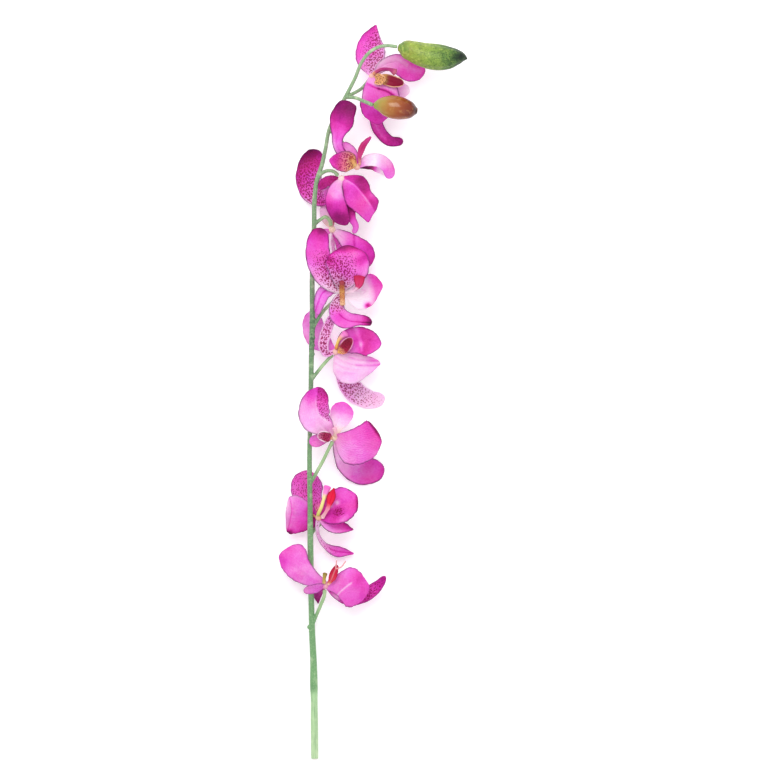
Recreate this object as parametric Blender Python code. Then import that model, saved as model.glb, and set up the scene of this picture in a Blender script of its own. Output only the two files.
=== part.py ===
"""Arching orchid stem with nine open blooms and two buds, lying on a flat surface.

Positions are in millimetres: X to the right, Y along the stem from its cut end, Z up from the surface.
"""

import math

import bmesh
import bpy
import numpy as np

MM = 0.001
BOX_CENTRE = (49.6, 313.0)  # middle of the whole stem in X and Y, moved to the origin

BLADE = 0.8  # thickness of a petal
LIP_BLADE = 0.9  # thickness of a lip
SEAT_GAP = 0.3  # clearance between parts that sit against each other
HUB_RADIUS = 3.2  # the heart of a bloom, where its petals join
ROOT_DEPTH = 1.0  # how far from the middle of the heart a petal starts
BEAD_RADIUS = 1.2  # the foot of a lip
TENDRIL_RADIUS = 0.6
STALK_RADIUS = 1.55
STALK_END_RADIUS = 1.75
CAP_BULGE = 0.45  # how far the end of a tube bulges, as a share of its radius
COLUMN_FOOT = 0.6  # how far the foot of a column stays off the heart, as a share of its radius
KNOB_RISE = 0.9  # how far a swelling sits above the middle of the stem
MARGIN_WAVE = 2.5  # how strongly the waves of a petal keep to its margin

PETAL_GRID = (8, 4)  # rows along a petal, columns across it
LIP_GRID = (5, 4)
COLUMN_SIDES = 7
COLUMN_STEPS = 4
BUD_SIDES = 12
BUD_STEPS = 12
STEM_SIDES = 8
STALK_SIDES = 6
TENDRIL_SIDES = 5
STALK_STEPS = 5

# Half width of a petal at five even steps from root to tip, how far its tip row is bowed,
# and how round its outer quarter is
OUTLINES = {
    "broad": (0.18, 0.72, 1.00, 0.93, 0.46, 0.26, 0.7),
    "spade": (0.18, 0.58, 0.88, 1.00, 0.54, 0.24, 0.6),
    "paddle": (0.24, 0.38, 0.60, 1.00, 0.54, 0.26, 0.5),
    "fan": (0.16, 0.56, 0.98, 1.00, 0.60, 0.24, 0.8),
    "heart": (0.18, 0.55, 1.00, 0.92, 0.52, 0.22, 0.5),
    "lobe": (0.18, 0.60, 1.00, 0.84, 0.34, 0.20, 0.3),
    "flared": (0.18, 0.92, 1.00, 0.78, 0.30, 0.20, 0.3),
    "ovate": (0.20, 0.90, 1.00, 0.72, 0.10, 0.10, 0.0),
    "wavy": (0.22, 0.94, 0.86, 1.00, 0.14, 0.10, 0.0),
    "notched": (0.22, 0.86, 1.00, 0.60, 0.14, 0.10, 0.0),
    "pointed": (0.24, 0.82, 1.00, 0.72, 0.12, 0.10, 0.0),
    "strap": (0.28, 0.84, 1.00, 0.92, 0.52, 0.26, 0.8),
    "late": (0.18, 0.46, 0.74, 0.98, 0.80, 0.24, 1.0),
    "stalked": (0.44, 0.34, 0.55, 1.00, 0.16, 0.10, 0.0),
    "lip": (0.30, 0.62, 1.00, 0.86, 0.30, 0.16, 0.3),
    "bowl": (0.30, 0.80, 1.00, 0.95, 0.50, 0.30, 0.6),
    "wedge": (0.30, 0.24, 0.30, 0.72, 0.95, 0.10, 0.0),
    "spoon": (0.26, 0.32, 0.42, 0.94, 0.66, 0.24, 0.6),
    "skirt": (0.18, 0.98, 1.00, 0.58, 0.10, 0.12, 0.0),
    "hipped": (0.26, 0.74, 1.00, 0.46, 0.42, 0.20, 0.0),
    "tailed": (0.26, 0.86, 1.00, 0.54, 0.34, 0.20, 0.3),
}

STEM_PATH = [
    # x, y, z, radius
    (0.0, 0.0, 3.1, 3.1),
    (-0.3, 34.0, 3.9, 3.1),
    (-0.5, 54.0, 5.0, 3.0),
    (-0.6, 58.0, 5.3, 3.2),
    (-1.0, 82.0, 7.2, 2.9),
    (-2.2, 109.0, 9.6, 2.7),
    (-2.9, 136.0, 12.5, 2.5),
    (-3.4, 170.0, 16.0, 2.6),
    (-3.6, 186.0, 17.6, 2.6),
    (-3.8, 212.0, 19.6, 2.3),
    (-4.3, 255.0, 22.0, 2.1),
    (-3.2, 310.0, 24.0, 2.1),
    (-2.7, 342.0, 25.0, 2.3),
    (-1.8, 374.0, 26.0, 2.4),
    (-2.0, 408.0, 27.0, 2.2),
    (-0.4, 453.0, 28.0, 2.1),
    (0.2, 478.0, 28.6, 2.0),
    (2.1, 493.0, 29.0, 1.9),
    (6.4, 506.0, 29.6, 1.8),
    (9.3, 519.0, 30.4, 1.7),
    (12.6, 536.0, 31.6, 1.7),
    (18.6, 549.0, 33.0, 1.7),
    (25.6, 562.0, 35.0, 1.7),
    (34.6, 579.5, 38.0, 1.6),
    (40.4, 593.0, 40.4, 1.5),
    (46.8, 601.0, 41.8, 1.5),
    (54.5, 605.4, 42.6, 1.5),
    (62.0, 606.6, 43.0, 1.5),
    (69.7, 605.7, 43.0, 1.6),
]

# Small swellings on the upper stem, as y along it, side it leans to and radius
STEM_KNOBS = [
    (345.0, 1.0, 1.9),
    (352.5, 1.1, 1.8),
    (359.0, 1.0, 2.0),
    (366.0, 0.9, 1.8),
    (372.0, -0.9, 1.8),
    (238.0, 1.0, 1.7),
    (112.5, -2.4, 1.9),
    (109.0, -0.8, 2.1),
]

GREEN_BUD = [
    (72.2, 604.9, 43.0, 3.4),
    (75.0, 604.4, 43.1, 6.3),
    (83.0, 602.0, 43.4, 8.9),
    (93.0, 598.7, 43.8, 10.5),
    (103.0, 596.8, 44.0, 11.3),
    (113.0, 596.4, 44.0, 10.0),
    (121.0, 596.8, 44.0, 7.0),
    (126.5, 596.4, 43.8, 3.7),
    (129.4, 595.6, 43.6, 0.8),
]

AMBER_BUD = [
    (51.4, 555.6, 50.0, 2.9),
    (56.0, 555.8, 50.2, 6.3),
    (62.0, 555.0, 50.4, 9.0),
    (70.0, 553.8, 50.6, 10.0),
    (78.0, 552.3, 50.6, 8.6),
    (83.6, 551.4, 50.4, 6.0),
    (86.2, 551.0, 50.3, 3.2),
]

AMBER_STALK = [
    (27.0, 563.0, 35.2, 1.55),
    (34.0, 562.6, 40.0, 1.55),
    (42.0, 559.4, 45.6, 1.55),
    (49.2, 556.2, 49.4, 1.7),
]


def petal(spine, widths, outline, face=(0, 0, 1), cup=(10, 10), wave=(0.0, 1.0, 0.0)):
    """One petal: its midrib, half widths to the left and right of it, and how it bends across."""
    return {
        "spine": spine,
        "widths": widths,
        "outline": outline,
        "face": face,
        "cup": cup,
        "wave": wave,
    }


def bloom(hub, stalk, petals, column, lip, lip_half, lip_face, lip_cup=(20, 45), lip_outline="lip",
          column_radius=1.5, column_cap=2.1, seated=True, lobes=(), tendrils=()):
    """One bloom: its heart, its stalk from the stem, its petals, its column and its lip."""
    return {
        "hub": hub,
        "stalk": stalk,
        "petals": petals,
        "column": column,
        "column_radius": column_radius,
        "column_cap": column_cap,
        "seated": seated,
        "lip": lip,
        "lip_half": lip_half,
        "lip_face": lip_face,
        "lip_cup": lip_cup,
        "lip_outline": lip_outline,
        "lobes": lobes,
        "tendrils": tendrils,
    }


BLOOMS = {
    "bloom_1": bloom(
        hub=(49, 581, 30),
        stalk=[(28, 564, 35.4), (35, 567.5, 32), (41.4, 572.2, 24.8)],
        petals=[
            petal([(49, 583, 29), (47, 592, 23), (47, 602, 14), (48, 613, 5), (52.4, 626, -0.6)],
                  (12, 13), "ovate", cup=(5, 16), wave=(0.8, 1.2, 0.4)),
            petal([(51, 583, 30), (60, 591, 30), (70, 593, 27), (81, 587, 23), (94, 584.5, 17)],
                  (10, 10), "spade", face=(-0.1, -0.3, 1), cup=(30, 20), wave=(0.7, 1.3, 2.0)),
            petal([(48, 580, 31), (50, 572, 35), (53, 563, 37), (53.5, 552, 35), (54, 540, 30)],
                  (15.2, 19), ("broad", "flared"), face=(0.1, 0, -1), cup=(24, 18), wave=(0.9, 1.2, 1.0)),
            petal([(52, 578, 29), (62, 573, 25), (72, 570, 22), (81, 568, 20)],
                  (7.5, 7.5), "broad", cup=(15, 20), wave=(0.6, 1.4, 0.2)),
            petal([(51, 577, 27), (52, 564, 20), (51.4, 550, 11),
                   (55, 536, 3), (64, 527, -0.8), (75.5, 526.5, 1)],
                  (5.6, 5.4), "strap", cup=(20, 28), wave=(0.4, 1.0, 0.5)),
        ],
        column=[(51, 584.6, 35), (58, 586.8, 39), (64, 586.4, 41), (68.4, 584.2, 42)],
        column_cap=3.0,
        lobes=[
            petal([(54, 581, 35), (53.6, 580.4, 38), (56, 579.2, 41), (60.6, 577.6, 42.4)],
                  (3.4, 6.4), "broad", cup=(10, 16)),
        ],
        lip=[(54, 580, 35), (62, 577.4, 38.4), (69, 575.6, 38), (76, 575.2, 36.8)],
        lip_half=5.4,
        lip_outline="bowl",
        lip_face=(-0.1, 0.2, 1),
        lip_cup=(30, 55),
    ),
    "bloom_2": bloom(
        hub=(36, 504, 38),
        stalk=[(12.6, 536, 31.6), (21, 528, 30), (30, 516, 29.6), (35, 507.6, 31.4)],
        petals=[
            petal([(34, 506, 38), (24.4, 513, 39.5), (19.4, 522, 41),
                   (20, 534, 42.5), (24, 546, 43.5), (30.4, 559.2, 42)],
                  (11.4, 14.4), "spoon", cup=(40, 26), wave=(0.7, 1.0, 0.6)),
            petal([(34.5, 505.5, 39), (28, 508, 41), (21, 508.4, 42), (12.6, 509.6, 41)],
                  (9, 9), "flared", cup=(20, 22), wave=(0.6, 1.4, 1.2)),
            petal([(36, 506.6, 38), (33.4, 512, 36.4), (29, 518, 35.8), (23, 524, 36)],
                  (5, 5.5), "broad", cup=(10, 15)),
            petal([(38, 505, 39), (46, 509.5, 41), (54, 509.5, 41.5), (61.5, 504.5, 39), (65, 494, 35)],
                  (5.8, 5.8), "strap", cup=(15, 22), wave=(0.5, 1.2, 0.8)),
            petal([(38, 503, 36), (44, 505.6, 30), (50, 506.4, 21),
                   (55, 505, 12), (60, 502, 2.4), (65, 498.6, -0.8)],
                  (5.6, 5.6), "broad", cup=(12, 8)),
        ],
        column=[(33.8, 505.4, 43), (32.6, 508.4, 46), (31, 511.6, 47)],
        lip=[(39.4, 507.2, 42.6), (38.8, 514, 45.4), (41.2, 521, 46.4), (48, 529.4, 46)],
        lip_half=2.9,
        lip_face=(-0.3, 0.1, 1),
        lip_cup=(20, 40),
    ),
    "bloom_3": bloom(
        hub=(23, 494, 37),
        stalk=[(2, 492.6, 29), (5.4, 497.8, 31), (10.5, 500.6, 34), (17, 499.6, 37.4)],
        petals=[
            petal([(21, 493.4, 35.6), (16, 493, 34), (10, 491, 33), (3.6, 485.4, 31.6)],
                  (4.8, 4.8), "broad", face=(-0.2, 0.3, 1), cup=(10, 20)),
            petal([(21, 491, 35), (13, 482, 24), (5.6, 479.6, 14), (-2, 485, 4),
                   (-4.4, 496, -0.4), (-2.4, 508, -0.4), (3.6, 519, 3)],
                  (11.8, 10), "spade", cup=(10, 14), wave=(0.8, 1.2, 0.3)),
            petal([(22.5, 493, 39), (19, 487, 42.6), (17.6, 477, 44), (20.6, 466, 42), (27.4, 454.4, 36)],
                  (10, 8.4), "broad", face=(0.2, 0, -1), cup=(30, 34), wave=(0.5, 1.2, 0.3)),
            petal([(25, 493.6, 39), (32, 486.6, 42), (37.4, 477.6, 43), (42, 468, 41), (46, 457, 36)],
                  (11.5, 15), ("notched", "wavy"), face=(-0.2, 0.1, -1), cup=(26, 26), wave=(0.8, 1.6, 1.8)),
            petal([(24.5, 491, 37), (26.5, 481, 37.6), (28.6, 470, 37),
                   (31.6, 460, 35), (35, 453, 32.5), (33, 447.6, 30)],
                  (5.6, 6.4), "tailed", face=(0, 0, -1), cup=(16, 25)),
        ],
        column=[(23.8, 491, 31), (25, 487, 26.6), (26.4, 482, 24)],
        lip=[(27.4, 489.4, 34), (30, 481, 33), (32, 471, 32.4), (32.6, 461.5, 32)],
        lip_half=4.2,
        lip_face=(0, 0, 1),
    ),
    "bloom_4": bloom(
        hub=(15, 451, 24),
        stalk=[(-0.2, 455, 28), (4.5, 459, 28.6), (9.5, 461.6, 28.4), (13, 458.4, 27)],
        petals=[
            petal([(16, 450, 24), (23.6, 445, 26), (32, 437.6, 27), (40, 430, 26), (47, 420, 22)],
                  (10.4, 11.4), "spade", face=(0, 0, -1), cup=(20, 18), wave=(0.9, 1.6, 0.6)),
            petal([(15, 449, 23), (14.6, 442, 21), (15.4, 434, 18), (17.6, 424, 13)],
                  (7.5, 7.5), "broad", face=(1, 0, 0.15), cup=(10, 14)),
            petal([(14, 453, 24.6), (11, 460, 18), (10, 468, 14), (11.6, 478, 10)],
                  (5.6, 5.6), "broad", face=(0, 0, -1), cup=(12, 16)),
            petal([(16.6, 449, 22), (24, 440, 14), (31, 427, 5), (37, 414, 0), (41, 402, -0.8)],
                  (9.5, 9.5), "broad", face=(0, 0, 1), cup=(14, 12), wave=(0.5, 1.2, 0.6)),
            petal([(12.6, 450, 22.6), (7, 447, 17), (2.6, 440, 7), (0.6, 430, -0.8)],
                  (6, 6.4), "broad", face=(0, 0, 1), cup=(12, 10)),
        ],
        column=[(15.2, 450.4, 18), (15.4, 449.6, 14), (15.8, 448.4, 11)],
        lip=[(15, 454.4, 18.4), (13.6, 459, 12.6), (12.6, 464, 8.6), (12.4, 469, 5.6)],
        lip_half=4.4,
        lip_face=(0, -0.4, -0.9),
    ),
    "bloom_5": bloom(
        hub=(23, 398, 32),
        stalk=[(-1.8, 366, 26), (2.5, 374, 26), (8, 382, 26), (17.6, 391.6, 28.4)],
        petals=[
            petal([(21, 399.6, 33), (14, 405, 36.6), (7.4, 414, 40),
                   (2.6, 426, 41.6), (2, 439, 41), (6, 452, 38)],
                  (10.4, 12), "strap", face=(0.1, 0, 1), cup=(24, 38), wave=(0.5, 1.0, 1.2)),
            petal([(23.4, 400.6, 34), (25, 408, 41.5), (27.4, 417, 46),
                   (27.8, 427, 46.6), (27.2, 437.2, 43.6)],
                  (17.6, 18.4), "fan", face=(0, -0.1, 1), cup=(18, -24), wave=(0.9, 1.3, 0.4)),
            petal([(25.4, 398.4, 32), (33, 399.4, 29.6), (42, 400.4, 28.6),
                   (50, 402, 29.6), (58, 403.4, 33)],
                  (12, 17), ("spade", "flared"), face=(0, 0, 1), cup=(14, 20), wave=(1.0, 1.4, 0.8)),
            petal([(20.8, 398, 31.6), (14, 400, 33), (8.4, 397.4, 34),
                   (4.6, 389, 34), (2.4, 378.6, 31)],
                  (5.8, 6.2), "flared", face=(0.1, 0, 1), cup=(14, 36)),
            petal([(22.6, 395.6, 32.6), (20.4, 388.6, 35), (20.8, 380.6, 37.4),
                   (28, 374.4, 38.4), (38, 373, 38), (49, 372.4, 36)],
                  (6.4, 10), ("strap", "hipped"), face=(0, 0.2, 1), cup=(16, 40)),
        ],
        column=[(23.9, 387, 41), (23.7, 392, 39.8), (23.5, 398, 38.6), (23.4, 402, 41), (23.4, 406, 44.6)],
        column_radius=2.3,
        seated=False,
        lip=[(28, 397, 36), (33.6, 399, 41), (37.2, 402.8, 44.4), (38.2, 411.6, 47.4)],
        lip_half=5.4,
        lip_outline="wedge",
        lip_face=(0, 0, 1),
        lip_cup=(10, 20),
    ),
    "bloom_6": bloom(
        hub=(18, 347, 28),
        stalk=[(-2.6, 323, 24.5), (1.5, 328.5, 24.6), (7, 335.5, 25.2), (12.8, 341.8, 26.4)],
        petals=[
            petal([(16, 347.4, 28.6), (10, 345.8, 30.6), (7.8, 352, 32),
                   (9.4, 361, 32), (12.6, 370, 30), (17, 379.2, 27)],
                  (5, 4.4), "strap", face=(0, 0, 1), cup=(20, 30)),
            petal([(16, 348.6, 26), (9.6, 353, 18), (3.6, 359, 8), (-0.6, 368, 0), (-2, 382.6, -0.8)],
                  (10.6, 9.6), "broad", face=(0, 0, 1), cup=(12, 14), wave=(0.6, 1.2, 0.4)),
            petal([(20, 348.4, 29), (28, 353, 31), (38, 356.6, 32), (48, 356.4, 33), (56.8, 353, 36)],
                  (12.6, 14.4), ("flared", "spade"), face=(-0.2, 0, 1), cup=(30, 40), wave=(0.6, 1.4, 0.2)),
            petal([(19, 345, 27), (26, 341, 28), (36, 338, 28), (46, 337, 27), (56, 337, 25)],
                  (19, 8), ("skirt", "flared"), face=(0, 0.1, -1), cup=(14, 16), wave=(1.2, 2.0, 0.2)),
            petal([(19.4, 344.6, 24.6), (23.6, 333.4, 17.6), (29, 320.4, 9),
                   (38, 310.4, 1.5), (49, 306.4, -0.8), (60, 308, 0)],
                  (9, 9.6), "broad", face=(0, 0, 1), cup=(16, 14), wave=(0.8, 1.4, 0.6)),
        ],
        column=[(18.6, 351.4, 32.4), (21, 357.4, 35.6), (26.4, 362.4, 38)],
        column_cap=3.2,
        lip=[(21.6, 346.4, 33), (25.2, 350, 36.6), (28.4, 354.4, 38.4), (32, 358.4, 39.6)],
        lip_half=5.2,
        lip_outline="bowl",
        lip_face=(0, 0, 1),
        lip_cup=(30, 50),
    ),
    "bloom_7": bloom(
        hub=(17, 274, 28),
        stalk=[(-4, 234, 21), (1, 243, 24), (7, 254, 26.4), (12.6, 265.4, 29.4)],
        petals=[
            petal([(15.4, 275.6, 29), (8, 282.4, 33.6), (1.6, 289.6, 36),
                   (0, 301, 36.6), (5.4, 317, 34.6)],
                  (14, 13.5), ("lobe", "broad"), face=(-0.1, 0, 1), cup=(18, 36), wave=(0.6, 1.2, 0.8)),
            petal([(17.4, 276.4, 27), (18.4, 284, 25), (21.6, 293, 23), (25, 304.4, 21)],
                  (9, 11), "spade", face=(0, 0, 1), cup=(14, 20), wave=(0.6, 1.2, 0.6)),
            petal([(14.6, 275, 27.4), (9, 273.2, 28), (2.4, 271.4, 29), (-4.6, 270.4, 29)],
                  (5.4, 5.4), "spade", face=(0, 0, 1), cup=(14, 20)),
            petal([(19, 273.6, 28.6), (26, 271.4, 34), (36, 269.8, 38),
                   (46, 269.4, 37.4), (57, 271.4, 32)],
                  (19.2, 20.4), ("flared", "late"), face=(0.1, 0, -1), cup=(14, 18), wave=(1.0, 1.6, 0.4)),
            petal([(17.4, 271.6, 26), (22.6, 261.6, 17), (30, 251, 6),
                   (40, 246, 0), (50, 246, -0.8), (59.4, 247.6, 0.6)],
                  (12, 12.4), "spade", face=(0, 0, 1), cup=(16, 18), wave=(0.6, 1.2, 1.0)),
        ],
        column=[(17.8, 277.4, 34), (17.6, 279.6, 36), (17, 282, 37)],
        lip=[(13.4, 273.4, 33), (10.4, 274.6, 36.6), (7, 275.4, 38.6), (2.4, 275.4, 39)],
        lip_half=4.8,
        lip_outline="bowl",
        lip_face=(0, 0, 1),
        lip_cup=(20, 50),
    ),
    "bloom_8": bloom(
        hub=(3.6, 206, 21),
        stalk=[(-3.6, 188, 17.6), (-2, 193, 12.6), (1.6, 197.4, 10.6), (6.2, 201.8, 13.6)],
        petals=[
            petal([(3.4, 208.4, 17.6), (-0.4, 214, 9), (-5.4, 223.6, 2.4),
                   (-7, 234, -0.8), (-6.4, 246, 0)],
                  (13.6, 13.6), "spade", face=(0, 0, 1), cup=(10, 12), wave=(0.6, 1.2, 0.2)),
            petal([(1.6, 205.8, 17.8), (-1.4, 205.6, 14.6), (-9, 206.8, 13.2),
                   (-17, 208.2, 16), (-24.6, 209, 23)],
                  (17, 17), "spade", face=(0.2, 0, 1), cup=(-14, -30), wave=(0.6, 1.2, 1.2)),
            petal([(6, 207.4, 22), (13, 209.6, 25), (20, 214.2, 27), (28, 220, 27.6), (36, 225, 26)],
                  (15.6, 14.4), "broad", face=(-0.1, 0.1, 1), cup=(20, 26), wave=(0.7, 1.4, 0.8)),
            petal([(5, 204.4, 21), (11, 200.6, 21), (18, 198, 21), (25, 197, 20.4), (33, 195.6, 18)],
                  (6.8, 6.8), "pointed", face=(0, 0.3, 1), cup=(30, 46)),
            petal([(3.2, 203.6, 20), (2.2, 197, 18), (3.8, 189, 15), (9.4, 181.6, 11),
                   (18.4, 177, 8), (26, 176, 6), (33.4, 175, 5)],
                  (4.8, 4.8), "stalked", face=(0, 0, 1), cup=(20, 26)),
        ],
        column=[(2.6, 209.4, 26), (5.6, 214.4, 30), (8, 222, 31.6), (11, 232, 32)],
        column_cap=3.3,
        lip=[(8, 206, 26), (11.4, 214, 31), (14, 222, 33), (16.6, 231.4, 33.4)],
        lip_half=4.2,
        lip_outline="stalked",
        lip_face=(-0.2, 0, 1),
        lip_cup=(30, 50),
    ),
    "bloom_9": bloom(
        hub=(9, 148, 22),
        stalk=[(-2.3, 113, 10), (1.2, 122, 13), (5, 131, 16.4), (8.4, 140, 19.6)],
        petals=[
            petal([(7.4, 149, 22.4), (0, 153.6, 23.4), (-9, 160.4, 24),
                   (-18, 167.4, 22), (-30, 173.8, 15.4)],
                  (16.8, 12), ("paddle", "broad"), face=(0.1, 0, -1), cup=(16, 18), wave=(0.8, 1.4, 0.4)),
            petal([(10.8, 148, 22.4), (18, 149, 24.6), (26, 148.8, 27),
                   (36, 147.6, 27), (47, 146.2, 22)],
                  (18.6, 15.6), ("heart", "lobe"), face=(0, 0, -1), cup=(20, 20), wave=(1.0, 1.4, 0.6)),
            petal([(10.4, 146.6, 21), (20, 141.6, 15), (32, 138, 10),
                   (45, 141, 9), (54, 147.6, 12), (60.4, 155.8, 18)],
                  (7, 7.4), "flared", face=(-0.2, 0.2, 1), cup=(16, 30)),
            petal([(7.6, 147.4, 23.4), (3.4, 146.6, 28), (-2, 145.8, 33), (-9, 145.4, 40)],
                  (5.2, 5.2), "strap", face=(0.6, -0.5, 0.5), cup=(14, 24)),
            petal([(5.4, 146.4, 17), (3.2, 143, 9.4), (2.4, 138, 4), (3, 132, -0.8)],
                  (4.4, 4.4), "pointed", face=(0, 0.3, -1), cup=(12, 18)),
        ],
        column=[(7.8, 151.6, 26.4), (8.4, 155, 28.4), (9, 158.4, 28.4)],
        lip=[(12.8, 150, 26.6), (14.8, 155, 29.6), (16.6, 160, 30.6), (19.4, 166, 30)],
        lip_half=3.8,
        lip_face=(0.2, -0.2, 1),
        lip_cup=(30, 50),
        tendrils=[
            [(17.8, 162.4, 30), (18.4, 166.4, 32), (18.8, 169.6, 32.4)],
            [(17.8, 162.4, 30), (22.6, 164, 31.6), (26.4, 169, 31.8)],
        ],
    ),
}

MATERIALS = {
    # base colour, roughness
    "stem_green": ((0.27, 0.44, 0.24, 1), 0.5),
    "petal_magenta": ((0.72, 0.10, 0.50, 1), 0.6),
    "lip_crimson": ((0.60, 0.02, 0.10, 1), 0.5),
    "column_yellow": ((0.85, 0.66, 0.25, 1), 0.5),
    "bud_green": ((0.32, 0.50, 0.09, 1), 0.4),
    "bud_amber": ((0.52, 0.20, 0.05, 1), 0.25),
}


def unit(vector):
    """The vector scaled to length one."""
    vector = np.asarray(vector, float)
    return vector / max(np.linalg.norm(vector), 1e-9)


def smooth_curve(points, places):
    """Points on a smooth curve through the given rows, at fractions of its length."""
    rows = np.asarray(points, float)
    steps = np.linalg.norm(np.diff(rows[:, :3], axis=0), axis=1)
    knots = np.concatenate([[0.0], np.cumsum(steps)])
    slopes = np.gradient(rows, knots, axis=0)
    places = np.clip(np.asarray(places, float), 0.0, 1.0) * knots[-1]
    span = np.clip(np.searchsorted(knots, places, side="right") - 1, 0, len(rows) - 2)
    width = (knots[span + 1] - knots[span])[..., None]
    t = (places - knots[span])[..., None] / width
    return (
        (2 * t**3 - 3 * t**2 + 1) * rows[span]
        + (t**3 - 2 * t**2 + t) * width * slopes[span]
        + (3 * t**2 - 2 * t**3) * rows[span + 1]
        + (t**3 - t**2) * width * slopes[span + 1]
    )


def width_share(profile, along):
    """Half width of a petal along its midrib, as a share of the widest."""
    steps = np.linspace(0.0, 1.0, 5)
    table = np.stack([steps, steps * 0, steps * 0, profile[:5]], axis=1)
    share = smooth_curve(table, along)[..., 3]
    outer = np.clip((along - steps[3]) / (1 - steps[3]), 0.0, 1.0)
    arch = profile[4] + (profile[3] - profile[4]) * np.sqrt(1 - outer**2)
    return np.where(along > steps[3], (1 - profile[6]) * share + profile[6] * arch, share)


def petal_surface(shape, grid):
    """The middle surface of a petal and its normals, as rows of points from its root to its tip."""
    rows, columns = grid
    along = np.linspace(0.0, 1.0, rows + 1)[:, None]
    across = np.linspace(-1.0, 1.0, columns + 1)[None, :]
    names = shape["outline"] if isinstance(shape["outline"], tuple) else (shape["outline"],) * 2
    profiles = [OUTLINES[name] for name in names]
    spine = np.asarray(shape["spine"], float)
    length = np.linalg.norm(np.diff(spine, axis=0), axis=1).sum()
    half = np.where(across < 0, shape["widths"][0], shape["widths"][1])
    bow = profiles[0][5] * (shape["widths"][0] + shape["widths"][1]) / 2 / length
    place = np.clip(along - bow * along**4 * across**2, 0.0, 1.0)
    centre = smooth_curve(spine, place)
    ahead = smooth_curve(spine, place + 0.01) - smooth_curve(spine, place - 0.01)
    ahead /= np.linalg.norm(ahead, axis=2, keepdims=True)
    face = unit(shape["face"])
    face = face - (face * ahead).sum(axis=2, keepdims=True) * ahead
    face /= np.linalg.norm(face, axis=2, keepdims=True)
    side = np.cross(ahead, face)
    shares = [width_share(profile, along) for profile in profiles]
    share = np.where(across < 0, shares[0], shares[1])
    arc = np.radians(shape["cup"][0] + (shape["cup"][1] - shape["cup"][0]) * along)
    arc = np.where(np.abs(arc) < 1e-4, 1e-4, arc)
    bend = arc * across
    reach = half * share * np.sin(bend) / arc
    lift = half * share * (1 - np.cos(bend)) / arc
    height, turns, phase = shape["wave"]
    lift = lift + height * np.abs(across) ** MARGIN_WAVE * along * np.sin(
        2 * math.pi * (turns * along + phase) + 2.0 * np.sign(across)
    )
    surface = centre + side * reach[..., None] + face * lift[..., None]
    normals = face * np.cos(bend)[..., None] - side * np.sin(bend)[..., None]
    return surface, normals


def new_object(name, points, faces):
    """A mesh object from points in millimetres of the layout."""
    mesh = bpy.data.meshes.new(name)
    shift = np.array([BOX_CENTRE[0], BOX_CENTRE[1], 0.0])
    mesh.from_pydata(((np.asarray(points) - shift) * MM).tolist(), [], faces)
    mesh.update()
    thing = bpy.data.objects.new(name, mesh)
    bpy.context.scene.collection.objects.link(thing)
    return thing


def blade(name, surface, normals, thickness):
    """A closed blade around a middle surface, pressed flat where it would sink below z = 0."""
    half = thickness / 2
    pressed = surface[..., 2] < half
    surface = surface.copy()
    surface[..., 2] = np.maximum(surface[..., 2], half)
    normals[pressed] = np.sign(normals[pressed][:, 2:]) * (0.0, 0.0, 1.0)
    upper = surface + normals * half
    lower = surface - normals * half
    upper[..., 2] = np.maximum(upper[..., 2], 0.0)
    lower[..., 2] = np.maximum(lower[..., 2], 0.0)
    rows, columns = surface.shape[:2]
    points = np.concatenate([upper.reshape(-1, 3), lower.reshape(-1, 3)])
    under = rows * columns
    faces = []
    for i in range(rows - 1):
        for j in range(columns - 1):
            a = i * columns + j
            b, c, d = a + 1, a + columns + 1, a + columns
            if (i + j) % 2:
                faces += [(a, b, d), (b, c, d)]
                faces += [(under + a, under + d, under + b), (under + b, under + d, under + c)]
            else:
                faces += [(a, c, d), (a, b, c)]
                faces += [(under + a, under + d, under + c), (under + a, under + c, under + b)]
    rim = list(range(columns))
    rim += [i * columns + columns - 1 for i in range(1, rows)]
    rim += [(rows - 1) * columns + j for j in range(columns - 2, -1, -1)]
    rim += [i * columns for i in range(rows - 2, 0, -1)]
    for here, there in zip(rim, rim[1:] + rim[:1]):
        faces += [(here, under + there, there), (here, under + here, under + there)]
    return new_object(name, points, faces)


def tube(name, path, sides, steps=None, flat_start=False):
    """A round tube along x, y, z, radius rows, closed by caps that bulge a little unless flat."""
    path = np.asarray(path, float)
    count = steps or len(path) - 1
    places = np.linspace(0.0, 1.0, count + 1)
    if steps is None:
        spans = np.linalg.norm(np.diff(path[:, :3], axis=0), axis=1)
        places = np.concatenate([[0.0], np.cumsum(spans)]) / spans.sum()
    rings = smooth_curve(path, places)
    ahead = smooth_curve(path, places + 0.01)[:, :3] - smooth_curve(path, places - 0.01)[:, :3]
    ahead /= np.linalg.norm(ahead, axis=1, keepdims=True)
    if flat_start:
        ahead[0] = (0.0, 1.0, 0.0)
    up = np.array([0.0, 0.0, 1.0]) if abs(ahead[0][2]) < 0.9 else np.array([0.0, 1.0, 0.0])
    points = []
    for centre, heading in zip(rings, ahead):
        across = unit(np.cross(heading, up))
        up = unit(np.cross(across, heading))
        for k in range(sides):
            turn = 2 * math.pi * (k + 0.5) / sides
            points.append(centre[:3] + centre[3] * (math.cos(turn) * across + math.sin(turn) * up))
    first = rings[0][:3] - ahead[0] * (0.0 if flat_start else CAP_BULGE * rings[0][3])
    last = rings[-1][:3] + ahead[-1] * CAP_BULGE * rings[-1][3]
    points += [first, last]
    start, end = len(points) - 2, len(points) - 1
    faces = []
    for i in range(len(rings) - 1):
        for k in range(sides):
            a, b = i * sides + k, i * sides + (k + 1) % sides
            faces += [(a, b + sides, b), (a, a + sides, b + sides)]
    top = (len(rings) - 1) * sides
    for k in range(sides):
        faces.append((start, k, (k + 1) % sides))
        faces.append((end, top + (k + 1) % sides, top + k))
    return new_object(name, points, faces)


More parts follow.
